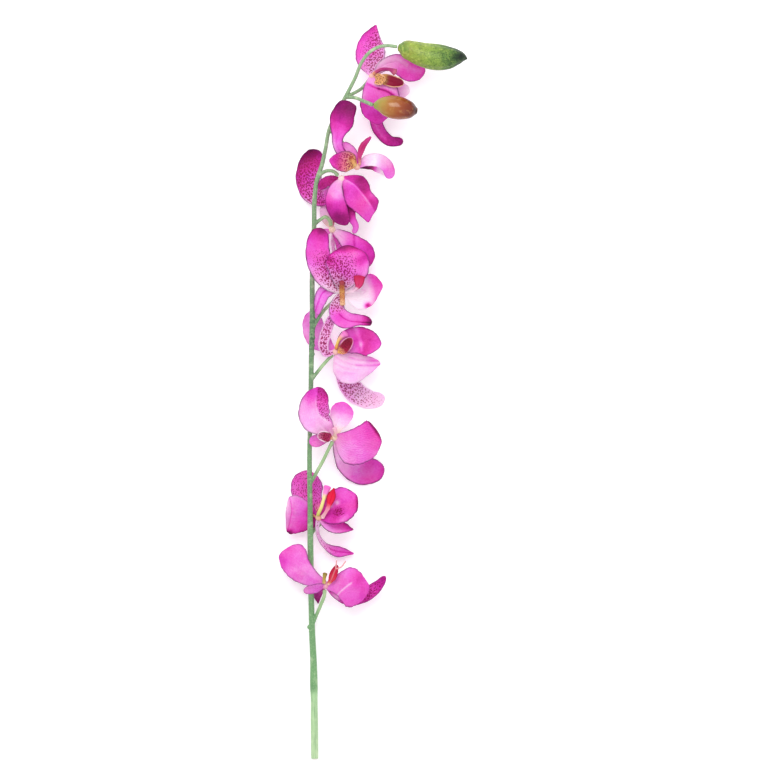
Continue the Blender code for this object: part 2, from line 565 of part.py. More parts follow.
def ball(name, centre, radius, sides=10, rings=6):
    """A closed faceted ball."""
    points = [np.array(centre) + [0, 0, radius]]
    for i in range(1, rings):
        tilt = math.pi * i / rings
        for k in range(sides):
            turn = 2 * math.pi * k / sides
            offset = [math.sin(tilt) * math.cos(turn), math.sin(tilt) * math.sin(turn), math.cos(tilt)]
            points.append(np.array(centre) + radius * np.array(offset))
    points.append(np.array(centre) - [0, 0, radius])
    faces = []
    for k in range(sides):
        faces.append((0, 1 + k, 1 + (k + 1) % sides))
    for i in range(rings - 2):
        for k in range(sides):
            a, b = 1 + i * sides + k, 1 + i * sides + (k + 1) % sides
            faces += [(a, a + sides, b + sides), (a, b + sides, b)]
    bottom = len(points) - 1
    last = 1 + (rings - 2) * sides
    for k in range(sides):
        faces.append((last + k, bottom, last + (k + 1) % sides))
    return new_object(name, points, faces)


def drop_scraps(body):
    """Keep only the largest connected piece of a mesh."""
    shape = bmesh.new()
    shape.from_mesh(body.data)
    loose = set(shape.verts)
    islands = []
    while loose:
        island = set()
        edge = [loose.pop()]
        while edge:
            vertex = edge.pop()
            island.add(vertex)
            for line in vertex.link_edges:
                other = line.other_vert(vertex)
                if other in loose:
                    loose.discard(other)
                    edge.append(other)
        islands.append(island)
    islands.sort(key=len, reverse=True)
    for island in islands[1:]:
        bmesh.ops.delete(shape, geom=list(island), context="VERTS")
    shape.to_mesh(body.data)
    shape.free()


def fuse(name, pieces):
    """Join overlapping pieces into one closed body under the given name."""
    body = pieces[0]
    if len(pieces) > 1:
        group = bpy.data.collections.new(name + "_pieces")
        bpy.context.scene.collection.children.link(group)
        for piece in pieces[1:]:
            group.objects.link(piece)
            bpy.context.scene.collection.objects.unlink(piece)
        union = body.modifiers.new("union", "BOOLEAN")
        union.operation = "UNION"
        union.operand_type = "COLLECTION"
        union.collection = group
        union.solver = "EXACT"
        bpy.context.view_layer.objects.active = body
        bpy.ops.object.select_all(action="DESELECT")
        body.select_set(True)
        bpy.ops.object.modifier_apply(modifier=union.name)
        for piece in list(group.objects):
            bpy.data.objects.remove(piece, do_unlink=True)
        bpy.data.collections.remove(group)
        drop_scraps(body)
    body.name = name
    return body


def finish(thing, slot):
    """Give a node its material and smooth shading."""
    thing.data.materials.clear()
    thing.data.materials.append(MADE[slot])
    for face in thing.data.polygons:
        face.use_smooth = True


def seat(hub, toward, distance):
    """A point off the heart of a bloom, in the direction of another point."""
    hub = np.asarray(hub, float)
    return hub + unit(np.asarray(toward, float) - hub) * distance


def bloom_petals(name, parts):
    """The petals of a bloom fused at its heart."""
    pieces = [ball(name + "_hub", parts["hub"], HUB_RADIUS, sides=8, rings=5)]
    for number, shape in enumerate(parts["petals"]):
        root = seat(parts["hub"], shape["spine"][0], ROOT_DEPTH)
        rooted = dict(shape, spine=[tuple(root)] + list(shape["spine"][1:]))
        surface, normals = petal_surface(rooted, PETAL_GRID)
        pieces.append(blade("%s_blade_%d" % (name, number), surface, normals, BLADE))
    finish(fuse(name + "_petals", pieces), "petal_magenta")


def bloom_column(name, parts):
    """The column of a bloom, a bent peg with a rounded cap."""
    radius = parts["column_radius"]
    path = [tuple(point) + (radius,) for point in parts["column"]]
    if parts["seated"]:
        foot = seat(parts["hub"], parts["column"][0], HUB_RADIUS + SEAT_GAP + COLUMN_FOOT * radius)
        path[0] = tuple(foot) + (radius,)
    path[-1] = tuple(parts["column"][-1]) + (parts["column_cap"],)
    finish(tube(name + "_column", path, COLUMN_SIDES, steps=COLUMN_STEPS), "column_yellow")


def bloom_lip(name, parts):
    """The lip of a bloom: a cupped blade on a small foot, some with a side lobe or two tendrils."""
    foot = seat(parts["hub"], parts["lip"][0], HUB_RADIUS + SEAT_GAP + BEAD_RADIUS)
    spine = [tuple(foot)] + list(parts["lip"][1:])
    halves = (parts["lip_half"],) * 2
    middle = petal(spine, halves, parts["lip_outline"], face=parts["lip_face"], cup=parts["lip_cup"])
    pieces = [ball(name + "_foot", foot, BEAD_RADIUS, sides=6, rings=4)]
    surface, normals = petal_surface(middle, LIP_GRID)
    pieces.append(blade(name + "_lip_blade", surface, normals, LIP_BLADE))
    for shape in parts["lobes"]:
        rooted = dict(shape, spine=[tuple(foot)] + list(shape["spine"][1:]))
        surface, normals = petal_surface(rooted, LIP_GRID)
        pieces.append(blade(name + "_lip_lobe", surface, normals, LIP_BLADE))
    for path in parts["tendrils"]:
        rows = [tuple(point) + (TENDRIL_RADIUS,) for point in path]
        pieces.append(tube(name + "_tendril", rows, TENDRIL_SIDES))
    finish(fuse(name + "_lip", pieces), "lip_crimson")


def make_stem():
    """The stem with the stalks of all blooms and of the amber bud."""
    pieces = [tube("stem_core", STEM_PATH, STEM_SIDES, flat_start=True)]
    for name, parts in BLOOMS.items():
        path = [tuple(point) + (STALK_RADIUS,) for point in parts["stalk"]]
        last = seat(parts["hub"], parts["stalk"][-1], HUB_RADIUS + SEAT_GAP + STALK_END_RADIUS * CAP_BULGE)
        path.append(tuple(last) + (STALK_END_RADIUS,))
        pieces.append(tube(name + "_stalk", path, STALK_SIDES, steps=STALK_STEPS))
    pieces.append(tube("amber_stalk", AMBER_STALK, STALK_SIDES, steps=STALK_STEPS))
    places = np.asarray(STEM_PATH, float)
    for along, lean, radius in STEM_KNOBS:
        centre = [np.interp(along, places[:, 1], places[:, k]) for k in (0, 1, 2)]
        centre[0] += lean
        centre[2] += KNOB_RISE
        pieces.append(ball("knob", centre, radius, sides=6, rings=4))
    finish(fuse("stem", pieces), "stem_green")


def make_buds():
    """The green bud at the tip of the stem and the amber bud below it."""
    finish(tube("bud_green", GREEN_BUD, BUD_SIDES, steps=BUD_STEPS), "bud_green")
    finish(tube("bud_amber", AMBER_BUD, BUD_SIDES, steps=BUD_STEPS), "bud_amber")


def make_material(name, colour, roughness):
    """A plain material of the given colour."""
    material = bpy.data.materials.new(name)
    material.use_nodes = True
    shader = material.node_tree.nodes["Principled BSDF"]
    shader.inputs["Base Color"].default_value = colour
    shader.inputs["Roughness"].default_value = roughness
    return material


for old in list(bpy.data.objects):
    bpy.data.objects.remove(old, do_unlink=True)

MADE = {slot: make_material(slot, *values) for slot, values in MATERIALS.items()}
make_stem()
make_buds()
for bloom_name, bloom_parts in BLOOMS.items():
    bloom_petals(bloom_name, bloom_parts)
    bloom_column(bloom_name, bloom_parts)
    bloom_lip(bloom_name, bloom_parts)
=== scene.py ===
"""The looks of an arching orchid stem with nine blooms and two buds, lying on a pale surface.

Shapes are in millimetres of the layout: X right, Y along the stem from its cut end, Z up.
"""

import math
from collections import namedtuple

import bpy
import numpy as np
from mathutils.kdtree import KDTree
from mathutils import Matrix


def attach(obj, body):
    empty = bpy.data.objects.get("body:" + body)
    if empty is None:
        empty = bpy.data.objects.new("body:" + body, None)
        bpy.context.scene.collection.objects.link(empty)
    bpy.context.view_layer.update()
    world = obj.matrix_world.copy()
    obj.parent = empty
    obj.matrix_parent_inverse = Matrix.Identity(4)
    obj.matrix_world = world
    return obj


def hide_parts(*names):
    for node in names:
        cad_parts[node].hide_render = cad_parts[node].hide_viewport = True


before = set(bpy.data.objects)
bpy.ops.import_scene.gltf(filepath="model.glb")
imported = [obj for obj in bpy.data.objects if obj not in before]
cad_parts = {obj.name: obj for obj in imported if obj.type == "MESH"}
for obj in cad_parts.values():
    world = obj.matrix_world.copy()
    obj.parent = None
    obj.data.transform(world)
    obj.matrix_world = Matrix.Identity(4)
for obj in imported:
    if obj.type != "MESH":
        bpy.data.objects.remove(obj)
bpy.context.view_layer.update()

MM = 0.001
BOX_CENTRE = (49.6, 313.0)  # middle of the whole stem in X and Y, moved to the origin
MIDDLE = np.array([*BOX_CENTRE, 0.0])

BLADE = 0.8  # thickness of a petal
LIP_BLADE = 0.9  # thickness of a lip
SEAT_GAP = 0.3  # clearance between parts that sit against each other
HUB_RADIUS = 3.2  # the heart of a bloom, where its petals join
ROOT_DEPTH = 1.0  # how far from the middle of the heart a petal starts
BEAD_RADIUS = 1.2  # the foot of a lip
TENDRIL_RADIUS = 0.6
STALK_RADIUS = 1.55
STALK_END_RADIUS = 1.75
CAP_BULGE = 0.45  # how far the end of a tube bulges, as a share of its radius
COLUMN_FOOT = 0.6  # how far the foot of a column stays off the heart, as a share of its radius
KNOB_RISE = 0.9  # how far a swelling sits above the middle of the stem
MARGIN_WAVE = 2.5  # how strongly the waves of a petal keep to its margin

# Half width of a petal at five even steps from root to tip, how far its tip row is bowed,
# and how round its outer quarter is
OUTLINES = {
    "broad": (0.18, 0.72, 1.00, 0.93, 0.46, 0.26, 0.7),
    "spade": (0.18, 0.58, 0.88, 1.00, 0.54, 0.24, 0.6),
    "paddle": (0.24, 0.38, 0.60, 1.00, 0.54, 0.26, 0.5),
    "fan": (0.16, 0.56, 0.98, 1.00, 0.60, 0.24, 0.8),
    "heart": (0.18, 0.55, 1.00, 0.92, 0.52, 0.22, 0.5),
    "lobe": (0.18, 0.60, 1.00, 0.84, 0.34, 0.20, 0.3),
    "flared": (0.18, 0.92, 1.00, 0.78, 0.30, 0.20, 0.3),
    "ovate": (0.20, 0.90, 1.00, 0.72, 0.10, 0.10, 0.0),
    "wavy": (0.22, 0.94, 0.86, 1.00, 0.14, 0.10, 0.0),
    "notched": (0.22, 0.86, 1.00, 0.60, 0.14, 0.10, 0.0),
    "pointed": (0.24, 0.82, 1.00, 0.72, 0.12, 0.10, 0.0),
    "strap": (0.28, 0.84, 1.00, 0.92, 0.52, 0.26, 0.8),
    "late": (0.18, 0.46, 0.74, 0.98, 0.80, 0.24, 1.0),
    "stalked": (0.44, 0.34, 0.55, 1.00, 0.16, 0.10, 0.0),
    "lip": (0.30, 0.62, 1.00, 0.86, 0.30, 0.16, 0.3),
    "bowl": (0.30, 0.80, 1.00, 0.95, 0.50, 0.30, 0.6),
    "wedge": (0.30, 0.24, 0.30, 0.72, 0.95, 0.10, 0.0),
    "spoon": (0.26, 0.32, 0.42, 0.94, 0.66, 0.24, 0.6),
    "skirt": (0.18, 0.98, 1.00, 0.58, 0.10, 0.12, 0.0),
    "hipped": (0.26, 0.74, 1.00, 0.46, 0.42, 0.20, 0.0),
    "tailed": (0.26, 0.86, 1.00, 0.54, 0.34, 0.20, 0.3),
}

STEM_PATH = [
    # x, y, z, radius
    (0.0, 0.0, 3.1, 3.1), (-0.3, 34.0, 3.9, 3.1), (-0.5, 54.0, 5.0, 3.0), (-0.6, 58.0, 5.3, 3.2),
    (-1.0, 82.0, 7.2, 2.9), (-2.2, 109.0, 9.6, 2.7), (-2.9, 136.0, 12.5, 2.5),
    (-3.4, 170.0, 16.0, 2.6), (-3.6, 186.0, 17.6, 2.6), (-3.8, 212.0, 19.6, 2.3),
    (-4.3, 255.0, 22.0, 2.1), (-3.2, 310.0, 24.0, 2.1), (-2.7, 342.0, 25.0, 2.3),
    (-1.8, 374.0, 26.0, 2.4), (-2.0, 408.0, 27.0, 2.2), (-0.4, 453.0, 28.0, 2.1),
    (0.2, 478.0, 28.6, 2.0), (2.1, 493.0, 29.0, 1.9), (6.4, 506.0, 29.6, 1.8), (9.3, 519.0, 30.4, 1.7),
    (12.6, 536.0, 31.6, 1.7), (18.6, 549.0, 33.0, 1.7), (25.6, 562.0, 35.0, 1.7),
    (34.6, 579.5, 38.0, 1.6), (40.4, 593.0, 40.4, 1.5), (46.8, 601.0, 41.8, 1.5),
    (54.5, 605.4, 42.6, 1.5), (62.0, 606.6, 43.0, 1.5), (69.7, 605.7, 43.0, 1.6),
]

# Small swellings on the upper stem, as y along it, side it leans to and radius
STEM_KNOBS = [
    (345.0, 1.0, 1.9), (352.5, 1.1, 1.8), (359.0, 1.0, 2.0), (366.0, 0.9, 1.8), (372.0, -0.9, 1.8),
    (238.0, 1.0, 1.7), (112.5, -2.4, 1.9), (109.0, -0.8, 2.1),
]

GREEN_BUD = [
    (72.2, 604.9, 43.0, 3.4), (75.0, 604.4, 43.1, 6.3), (83.0, 602.0, 43.4, 8.9),
    (93.0, 598.7, 43.8, 10.5), (103.0, 596.8, 44.0, 11.3), (113.0, 596.4, 44.0, 10.0),
    (121.0, 596.8, 44.0, 7.0), (126.5, 596.4, 43.8, 3.7), (129.4, 595.6, 43.6, 0.8),
]

AMBER_BUD = [
    (51.4, 555.6, 50.0, 2.9), (56.0, 555.8, 50.2, 6.3), (62.0, 555.0, 50.4, 9.0),
    (70.0, 553.8, 50.6, 10.0), (78.0, 552.3, 50.6, 8.6), (83.6, 551.4, 50.4, 6.0),
    (86.2, 551.0, 50.3, 3.2),
]

AMBER_STALK = [
    (27.0, 563.0, 35.2, 1.55), (34.0, 562.6, 40.0, 1.55), (42.0, 559.4, 45.6, 1.55),
    (49.2, 556.2, 49.4, 1.7),
]

# One petal: its midrib, half widths to the left and right of it, and how it bends across
Petal = namedtuple(
    "Petal", "spine widths outline face cup wave", defaults=((0, 0, 1), (10, 10), (0.0, 1.0, 0.0))
)

# One bloom: its heart, its stalk from the stem, its petals, its column and its lip
Bloom = namedtuple(
    "Bloom",
    "hub stalk petals column lip lip_half lip_face lip_cup lip_outline"
    " column_radius column_cap seated lobes tendrils",
    defaults=((0, 0, 1), (20, 45), "lip", 1.5, 2.1, True, (), ()),
)

BLOOMS = [
    Bloom(  # bloom 1
        hub=(49, 581, 30), stalk=[(28, 564, 35.4), (35, 567.5, 32), (41.4, 572.2, 24.8)],
        column=[(51, 584.6, 35), (58, 586.8, 39), (64, 586.4, 41), (68.4, 584.2, 42)], column_cap=3.0,
        lip=[(54, 580, 35), (62, 577.4, 38.4), (69, 575.6, 38), (76, 575.2, 36.8)], lip_half=5.4,
        lip_outline="bowl", lip_face=(-0.1, 0.2, 1), lip_cup=(30, 55),
        petals=[
            Petal([(49, 583, 29), (47, 592, 23), (47, 602, 14), (48, 613, 5), (52.4, 626, -0.6)], (12, 13),
                  "ovate", cup=(5, 16), wave=(0.8, 1.2, 0.4)),
            Petal([(51, 583, 30), (60, 591, 30), (70, 593, 27), (81, 587, 23), (94, 584.5, 17)], (10, 10),
                  "spade", face=(-0.1, -0.3, 1), cup=(30, 20), wave=(0.7, 1.3, 2.0)),
            Petal([(48, 580, 31), (50, 572, 35), (53, 563, 37), (53.5, 552, 35), (54, 540, 30)], (15.2, 19),
                  ("broad", "flared"), face=(0.1, 0, -1), cup=(24, 18), wave=(0.9, 1.2, 1.0)),
            Petal([(52, 578, 29), (62, 573, 25), (72, 570, 22), (81, 568, 20)], (7.5, 7.5), "broad",
                  cup=(15, 20), wave=(0.6, 1.4, 0.2)),
            Petal([(51, 577, 27), (52, 564, 20), (51.4, 550, 11), (55, 536, 3), (64, 527, -0.8),
                   (75.5, 526.5, 1)], (5.6, 5.4), "strap", cup=(20, 28), wave=(0.4, 1.0, 0.5)),
        ],
        lobes=[
            Petal([(54, 581, 35), (53.6, 580.4, 38), (56, 579.2, 41), (60.6, 577.6, 42.4)], (3.4, 6.4),
                  "broad", cup=(10, 16)),
        ],
    ),
    Bloom(  # bloom 2
        hub=(36, 504, 38), stalk=[(12.6, 536, 31.6), (21, 528, 30), (30, 516, 29.6), (35, 507.6, 31.4)],
        column=[(33.8, 505.4, 43), (32.6, 508.4, 46), (31, 511.6, 47)],
        lip=[(39.4, 507.2, 42.6), (38.8, 514, 45.4), (41.2, 521, 46.4), (48, 529.4, 46)], lip_half=2.9,
        lip_face=(-0.3, 0.1, 1), lip_cup=(20, 40),
        petals=[
            Petal([(34, 506, 38), (24.4, 513, 39.5), (19.4, 522, 41), (20, 534, 42.5), (24, 546, 43.5),
                   (30.4, 559.2, 42)], (11.4, 14.4), "spoon", cup=(40, 26), wave=(0.7, 1.0, 0.6)),
            Petal([(34.5, 505.5, 39), (28, 508, 41), (21, 508.4, 42), (12.6, 509.6, 41)], (9, 9), "flared",
                  cup=(20, 22), wave=(0.6, 1.4, 1.2)),
            Petal([(36, 506.6, 38), (33.4, 512, 36.4), (29, 518, 35.8), (23, 524, 36)], (5, 5.5), "broad",
                  cup=(10, 15)),
            Petal([(38, 505, 39), (46, 509.5, 41), (54, 509.5, 41.5), (61.5, 504.5, 39), (65, 494, 35)],
                  (5.8, 5.8), "strap", cup=(15, 22), wave=(0.5, 1.2, 0.8)),
            Petal([(38, 503, 36), (44, 505.6, 30), (50, 506.4, 21), (55, 505, 12), (60, 502, 2.4),
                   (65, 498.6, -0.8)], (5.6, 5.6), "broad", cup=(12, 8)),
        ],
    ),
    Bloom(  # bloom 3
        hub=(23, 494, 37), stalk=[(2, 492.6, 29), (5.4, 497.8, 31), (10.5, 500.6, 34), (17, 499.6, 37.4)],
        column=[(23.8, 491, 31), (25, 487, 26.6), (26.4, 482, 24)],
        lip=[(27.4, 489.4, 34), (30, 481, 33), (32, 471, 32.4), (32.6, 461.5, 32)], lip_half=4.2,
        petals=[
            Petal([(21, 493.4, 35.6), (16, 493, 34), (10, 491, 33), (3.6, 485.4, 31.6)], (4.8, 4.8), "broad",
                  face=(-0.2, 0.3, 1), cup=(10, 20)),
            Petal([(21, 491, 35), (13, 482, 24), (5.6, 479.6, 14), (-2, 485, 4), (-4.4, 496, -0.4),
                   (-2.4, 508, -0.4), (3.6, 519, 3)], (11.8, 10), "spade", cup=(10, 14),
                  wave=(0.8, 1.2, 0.3)),
            Petal([(22.5, 493, 39), (19, 487, 42.6), (17.6, 477, 44), (20.6, 466, 42), (27.4, 454.4, 36)],
                  (10, 8.4), "broad", face=(0.2, 0, -1), cup=(30, 34), wave=(0.5, 1.2, 0.3)),
            Petal([(25, 493.6, 39), (32, 486.6, 42), (37.4, 477.6, 43), (42, 468, 41), (46, 457, 36)],
                  (11.5, 15), ("notched", "wavy"), face=(-0.2, 0.1, -1), cup=(26, 26), wave=(0.8, 1.6, 1.8)),
            Petal([(24.5, 491, 37), (26.5, 481, 37.6), (28.6, 470, 37), (31.6, 460, 35), (35, 453, 32.5),
                   (33, 447.6, 30)], (5.6, 6.4), "tailed", face=(0, 0, -1), cup=(16, 25)),
        ],
    ),
    Bloom(  # bloom 4
        hub=(15, 451, 24), stalk=[(-0.2, 455, 28), (4.5, 459, 28.6), (9.5, 461.6, 28.4), (13, 458.4, 27)],
        column=[(15.2, 450.4, 18), (15.4, 449.6, 14), (15.8, 448.4, 11)],
        lip=[(15, 454.4, 18.4), (13.6, 459, 12.6), (12.6, 464, 8.6), (12.4, 469, 5.6)], lip_half=4.4,
        lip_face=(0, -0.4, -0.9),
        petals=[
            Petal([(16, 450, 24), (23.6, 445, 26), (32, 437.6, 27), (40, 430, 26), (47, 420, 22)],
                  (10.4, 11.4), "spade", face=(0, 0, -1), cup=(20, 18), wave=(0.9, 1.6, 0.6)),
            Petal([(15, 449, 23), (14.6, 442, 21), (15.4, 434, 18), (17.6, 424, 13)], (7.5, 7.5), "broad",
                  face=(1, 0, 0.15), cup=(10, 14)),
            Petal([(14, 453, 24.6), (11, 460, 18), (10, 468, 14), (11.6, 478, 10)], (5.6, 5.6), "broad",
                  face=(0, 0, -1), cup=(12, 16)),
            Petal([(16.6, 449, 22), (24, 440, 14), (31, 427, 5), (37, 414, 0), (41, 402, -0.8)], (9.5, 9.5),
                  "broad", cup=(14, 12), wave=(0.5, 1.2, 0.6)),
            Petal([(12.6, 450, 22.6), (7, 447, 17), (2.6, 440, 7), (0.6, 430, -0.8)], (6, 6.4), "broad",
                  cup=(12, 10)),
        ],
    ),
    Bloom(  # bloom 5
        hub=(23, 398, 32), stalk=[(-1.8, 366, 26), (2.5, 374, 26), (8, 382, 26), (17.6, 391.6, 28.4)],
        column=[(23.9, 387, 41), (23.7, 392, 39.8), (23.5, 398, 38.6), (23.4, 402, 41), (23.4, 406, 44.6)],
        column_radius=2.3, seated=False,
        lip=[(28, 397, 36), (33.6, 399, 41), (37.2, 402.8, 44.4), (38.2, 411.6, 47.4)], lip_half=5.4,
        lip_outline="wedge", lip_cup=(10, 20),
        petals=[
            Petal([(21, 399.6, 33), (14, 405, 36.6), (7.4, 414, 40), (2.6, 426, 41.6), (2, 439, 41),
                   (6, 452, 38)], (10.4, 12), "strap", face=(0.1, 0, 1), cup=(24, 38), wave=(0.5, 1.0, 1.2)),
            Petal([(23.4, 400.6, 34), (25, 408, 41.5), (27.4, 417, 46), (27.8, 427, 46.6),
                   (27.2, 437.2, 43.6)], (17.6, 18.4), "fan", face=(0, -0.1, 1), cup=(18, -24),
                  wave=(0.9, 1.3, 0.4)),
            Petal([(25.4, 398.4, 32), (33, 399.4, 29.6), (42, 400.4, 28.6), (50, 402, 29.6), (58, 403.4, 33)],
                  (12, 17), ("spade", "flared"), cup=(14, 20), wave=(1.0, 1.4, 0.8)),
            Petal([(20.8, 398, 31.6), (14, 400, 33), (8.4, 397.4, 34), (4.6, 389, 34), (2.4, 378.6, 31)],
                  (5.8, 6.2), "flared", face=(0.1, 0, 1), cup=(14, 36)),
            Petal([(22.6, 395.6, 32.6), (20.4, 388.6, 35), (20.8, 380.6, 37.4), (28, 374.4, 38.4),
                   (38, 373, 38), (49, 372.4, 36)], (6.4, 10), ("strap", "hipped"), face=(0, 0.2, 1),
                  cup=(16, 40)),
        ],
    ),
    Bloom(  # bloom 6
        hub=(18, 347, 28),
        stalk=[(-2.6, 323, 24.5), (1.5, 328.5, 24.6), (7, 335.5, 25.2), (12.8, 341.8, 26.4)],
        column=[(18.6, 351.4, 32.4), (21, 357.4, 35.6), (26.4, 362.4, 38)], column_cap=3.2,
        lip=[(21.6, 346.4, 33), (25.2, 350, 36.6), (28.4, 354.4, 38.4), (32, 358.4, 39.6)], lip_half=5.2,
        lip_outline="bowl", lip_cup=(30, 50),
        petals=[
            Petal([(16, 347.4, 28.6), (10, 345.8, 30.6), (7.8, 352, 32), (9.4, 361, 32), (12.6, 370, 30),
                   (17, 379.2, 27)], (5, 4.4), "strap", cup=(20, 30)),
            Petal([(16, 348.6, 26), (9.6, 353, 18), (3.6, 359, 8), (-0.6, 368, 0), (-2, 382.6, -0.8)],
                  (10.6, 9.6), "broad", cup=(12, 14), wave=(0.6, 1.2, 0.4)),
            Petal([(20, 348.4, 29), (28, 353, 31), (38, 356.6, 32), (48, 356.4, 33), (56.8, 353, 36)],
                  (12.6, 14.4), ("flared", "spade"), face=(-0.2, 0, 1), cup=(30, 40), wave=(0.6, 1.4, 0.2)),
            Petal([(19, 345, 27), (26, 341, 28), (36, 338, 28), (46, 337, 27), (56, 337, 25)], (19, 8),
                  ("skirt", "flared"), face=(0, 0.1, -1), cup=(14, 16), wave=(1.2, 2.0, 0.2)),
            Petal([(19.4, 344.6, 24.6), (23.6, 333.4, 17.6), (29, 320.4, 9), (38, 310.4, 1.5),
                   (49, 306.4, -0.8), (60, 308, 0)], (9, 9.6), "broad", cup=(16, 14), wave=(0.8, 1.4, 0.6)),
        ],
    ),
    Bloom(  # bloom 7
        hub=(17, 274, 28), stalk=[(-4, 234, 21), (1, 243, 24), (7, 254, 26.4), (12.6, 265.4, 29.4)],
        column=[(17.8, 277.4, 34), (17.6, 279.6, 36), (17, 282, 37)],
        lip=[(13.4, 273.4, 33), (10.4, 274.6, 36.6), (7, 275.4, 38.6), (2.4, 275.4, 39)], lip_half=4.8,
        lip_outline="bowl", lip_cup=(20, 50),
        petals=[
            Petal([(15.4, 275.6, 29), (8, 282.4, 33.6), (1.6, 289.6, 36), (0, 301, 36.6), (5.4, 317, 34.6)],
                  (14, 13.5), ("lobe", "broad"), face=(-0.1, 0, 1), cup=(18, 36), wave=(0.6, 1.2, 0.8)),
            Petal([(17.4, 276.4, 27), (18.4, 284, 25), (21.6, 293, 23), (25, 304.4, 21)], (9, 11), "spade",
                  cup=(14, 20), wave=(0.6, 1.2, 0.6)),
            Petal([(14.6, 275, 27.4), (9, 273.2, 28), (2.4, 271.4, 29), (-4.6, 270.4, 29)], (5.4, 5.4),
                  "spade", cup=(14, 20)),
            Petal([(19, 273.6, 28.6), (26, 271.4, 34), (36, 269.8, 38), (46, 269.4, 37.4), (57, 271.4, 32)],
                  (19.2, 20.4), ("flared", "late"), face=(0.1, 0, -1), cup=(14, 18), wave=(1.0, 1.6, 0.4)),
            Petal([(17.4, 271.6, 26), (22.6, 261.6, 17), (30, 251, 6), (40, 246, 0), (50, 246, -0.8),
                   (59.4, 247.6, 0.6)], (12, 12.4), "spade", cup=(16, 18), wave=(0.6, 1.2, 1.0)),
        ],
    ),
    Bloom(  # bloom 8
        hub=(3.6, 206, 21),
        stalk=[(-3.6, 188, 17.6), (-2, 193, 12.6), (1.6, 197.4, 10.6), (6.2, 201.8, 13.6)],
        column=[(2.6, 209.4, 26), (5.6, 214.4, 30), (8, 222, 31.6), (11, 232, 32)], column_cap=3.3,
        lip=[(8, 206, 26), (11.4, 214, 31), (14, 222, 33), (16.6, 231.4, 33.4)], lip_half=4.2,
        lip_outline="stalked", lip_face=(-0.2, 0, 1), lip_cup=(30, 50),
        petals=[
            Petal([(3.4, 208.4, 17.6), (-0.4, 214, 9), (-5.4, 223.6, 2.4), (-7, 234, -0.8), (-6.4, 246, 0)],
                  (13.6, 13.6), "spade", cup=(10, 12), wave=(0.6, 1.2, 0.2)),
            Petal([(1.6, 205.8, 17.8), (-1.4, 205.6, 14.6), (-9, 206.8, 13.2), (-17, 208.2, 16),
                   (-24.6, 209, 23)], (17, 17), "spade", face=(0.2, 0, 1), cup=(-14, -30),
                  wave=(0.6, 1.2, 1.2)),
            Petal([(6, 207.4, 22), (13, 209.6, 25), (20, 214.2, 27), (28, 220, 27.6), (36, 225, 26)],
                  (15.6, 14.4), "broad", face=(-0.1, 0.1, 1), cup=(20, 26), wave=(0.7, 1.4, 0.8)),
            Petal([(5, 204.4, 21), (11, 200.6, 21), (18, 198, 21), (25, 197, 20.4), (33, 195.6, 18)],
                  (6.8, 6.8), "pointed", face=(0, 0.3, 1), cup=(30, 46)),
            Petal([(3.2, 203.6, 20), (2.2, 197, 18), (3.8, 189, 15), (9.4, 181.6, 11), (18.4, 177, 8),
                   (26, 176, 6), (33.4, 175, 5)], (4.8, 4.8), "stalked", cup=(20, 26)),
        ],
    ),
    Bloom(  # bloom 9
        hub=(9, 148, 22), stalk=[(-2.3, 113, 10), (1.2, 122, 13), (5, 131, 16.4), (8.4, 140, 19.6)],
        column=[(7.8, 151.6, 26.4), (8.4, 155, 28.4), (9, 158.4, 28.4)],
        lip=[(12.8, 150, 26.6), (14.8, 155, 29.6), (16.6, 160, 30.6), (19.4, 166, 30)], lip_half=3.8,
        lip_face=(0.2, -0.2, 1), lip_cup=(30, 50),
        tendrils=[[(17.8, 162.4, 30), (18.4, 166.4, 32), (18.8, 169.6, 32.4)],
                  [(17.8, 162.4, 30), (22.6, 164, 31.6), (26.4, 169, 31.8)]],
        petals=[
            Petal([(7.4, 149, 22.4), (0, 153.6, 23.4), (-9, 160.4, 24), (-18, 167.4, 22), (-30, 173.8, 15.4)],
                  (16.8, 12), ("paddle", "broad"), face=(0.1, 0, -1), cup=(16, 18), wave=(0.8, 1.4, 0.4)),
            Petal([(10.8, 148, 22.4), (18, 149, 24.6), (26, 148.8, 27), (36, 147.6, 27), (47, 146.2, 22)],
                  (18.6, 15.6), ("heart", "lobe"), face=(0, 0, -1), cup=(20, 20), wave=(1.0, 1.4, 0.6)),
            Petal([(10.4, 146.6, 21), (20, 141.6, 15), (32, 138, 10), (45, 141, 9), (54, 147.6, 12),
                   (60.4, 155.8, 18)], (7, 7.4), "flared", face=(-0.2, 0.2, 1), cup=(16, 30)),
            Petal([(7.6, 147.4, 23.4), (3.4, 146.6, 28), (-2, 145.8, 33), (-9, 145.4, 40)], (5.2, 5.2),
                  "strap", face=(0.6, -0.5, 0.5), cup=(14, 24)),
            Petal([(5.4, 146.4, 17), (3.2, 143, 9.4), (2.4, 138, 4), (3, 132, -0.8)], (4.4, 4.4), "pointed",
                  face=(0, 0.3, -1), cup=(12, 18)),
        ],
    ),
]

PETAL_FINE = (56, 36)  # rows along a petal, columns across it
LIP_FINE = (40, 28)
COLUMN_FINE = (26, 20)  # rings along a column, sides round it
BUD_FINE = (72, 56)
STEM_FINE = (420, 20)
STALK_FINE = (60, 20)
TENDRIL_FINE = (20, 12)
BALL_FINE = (14, 24)
BEAD_FINE = (10, 16)
STEM_VOXEL = 0.42
SOFTEN = (0.5, 4)  # strength and rounds of the smoothing of the stem

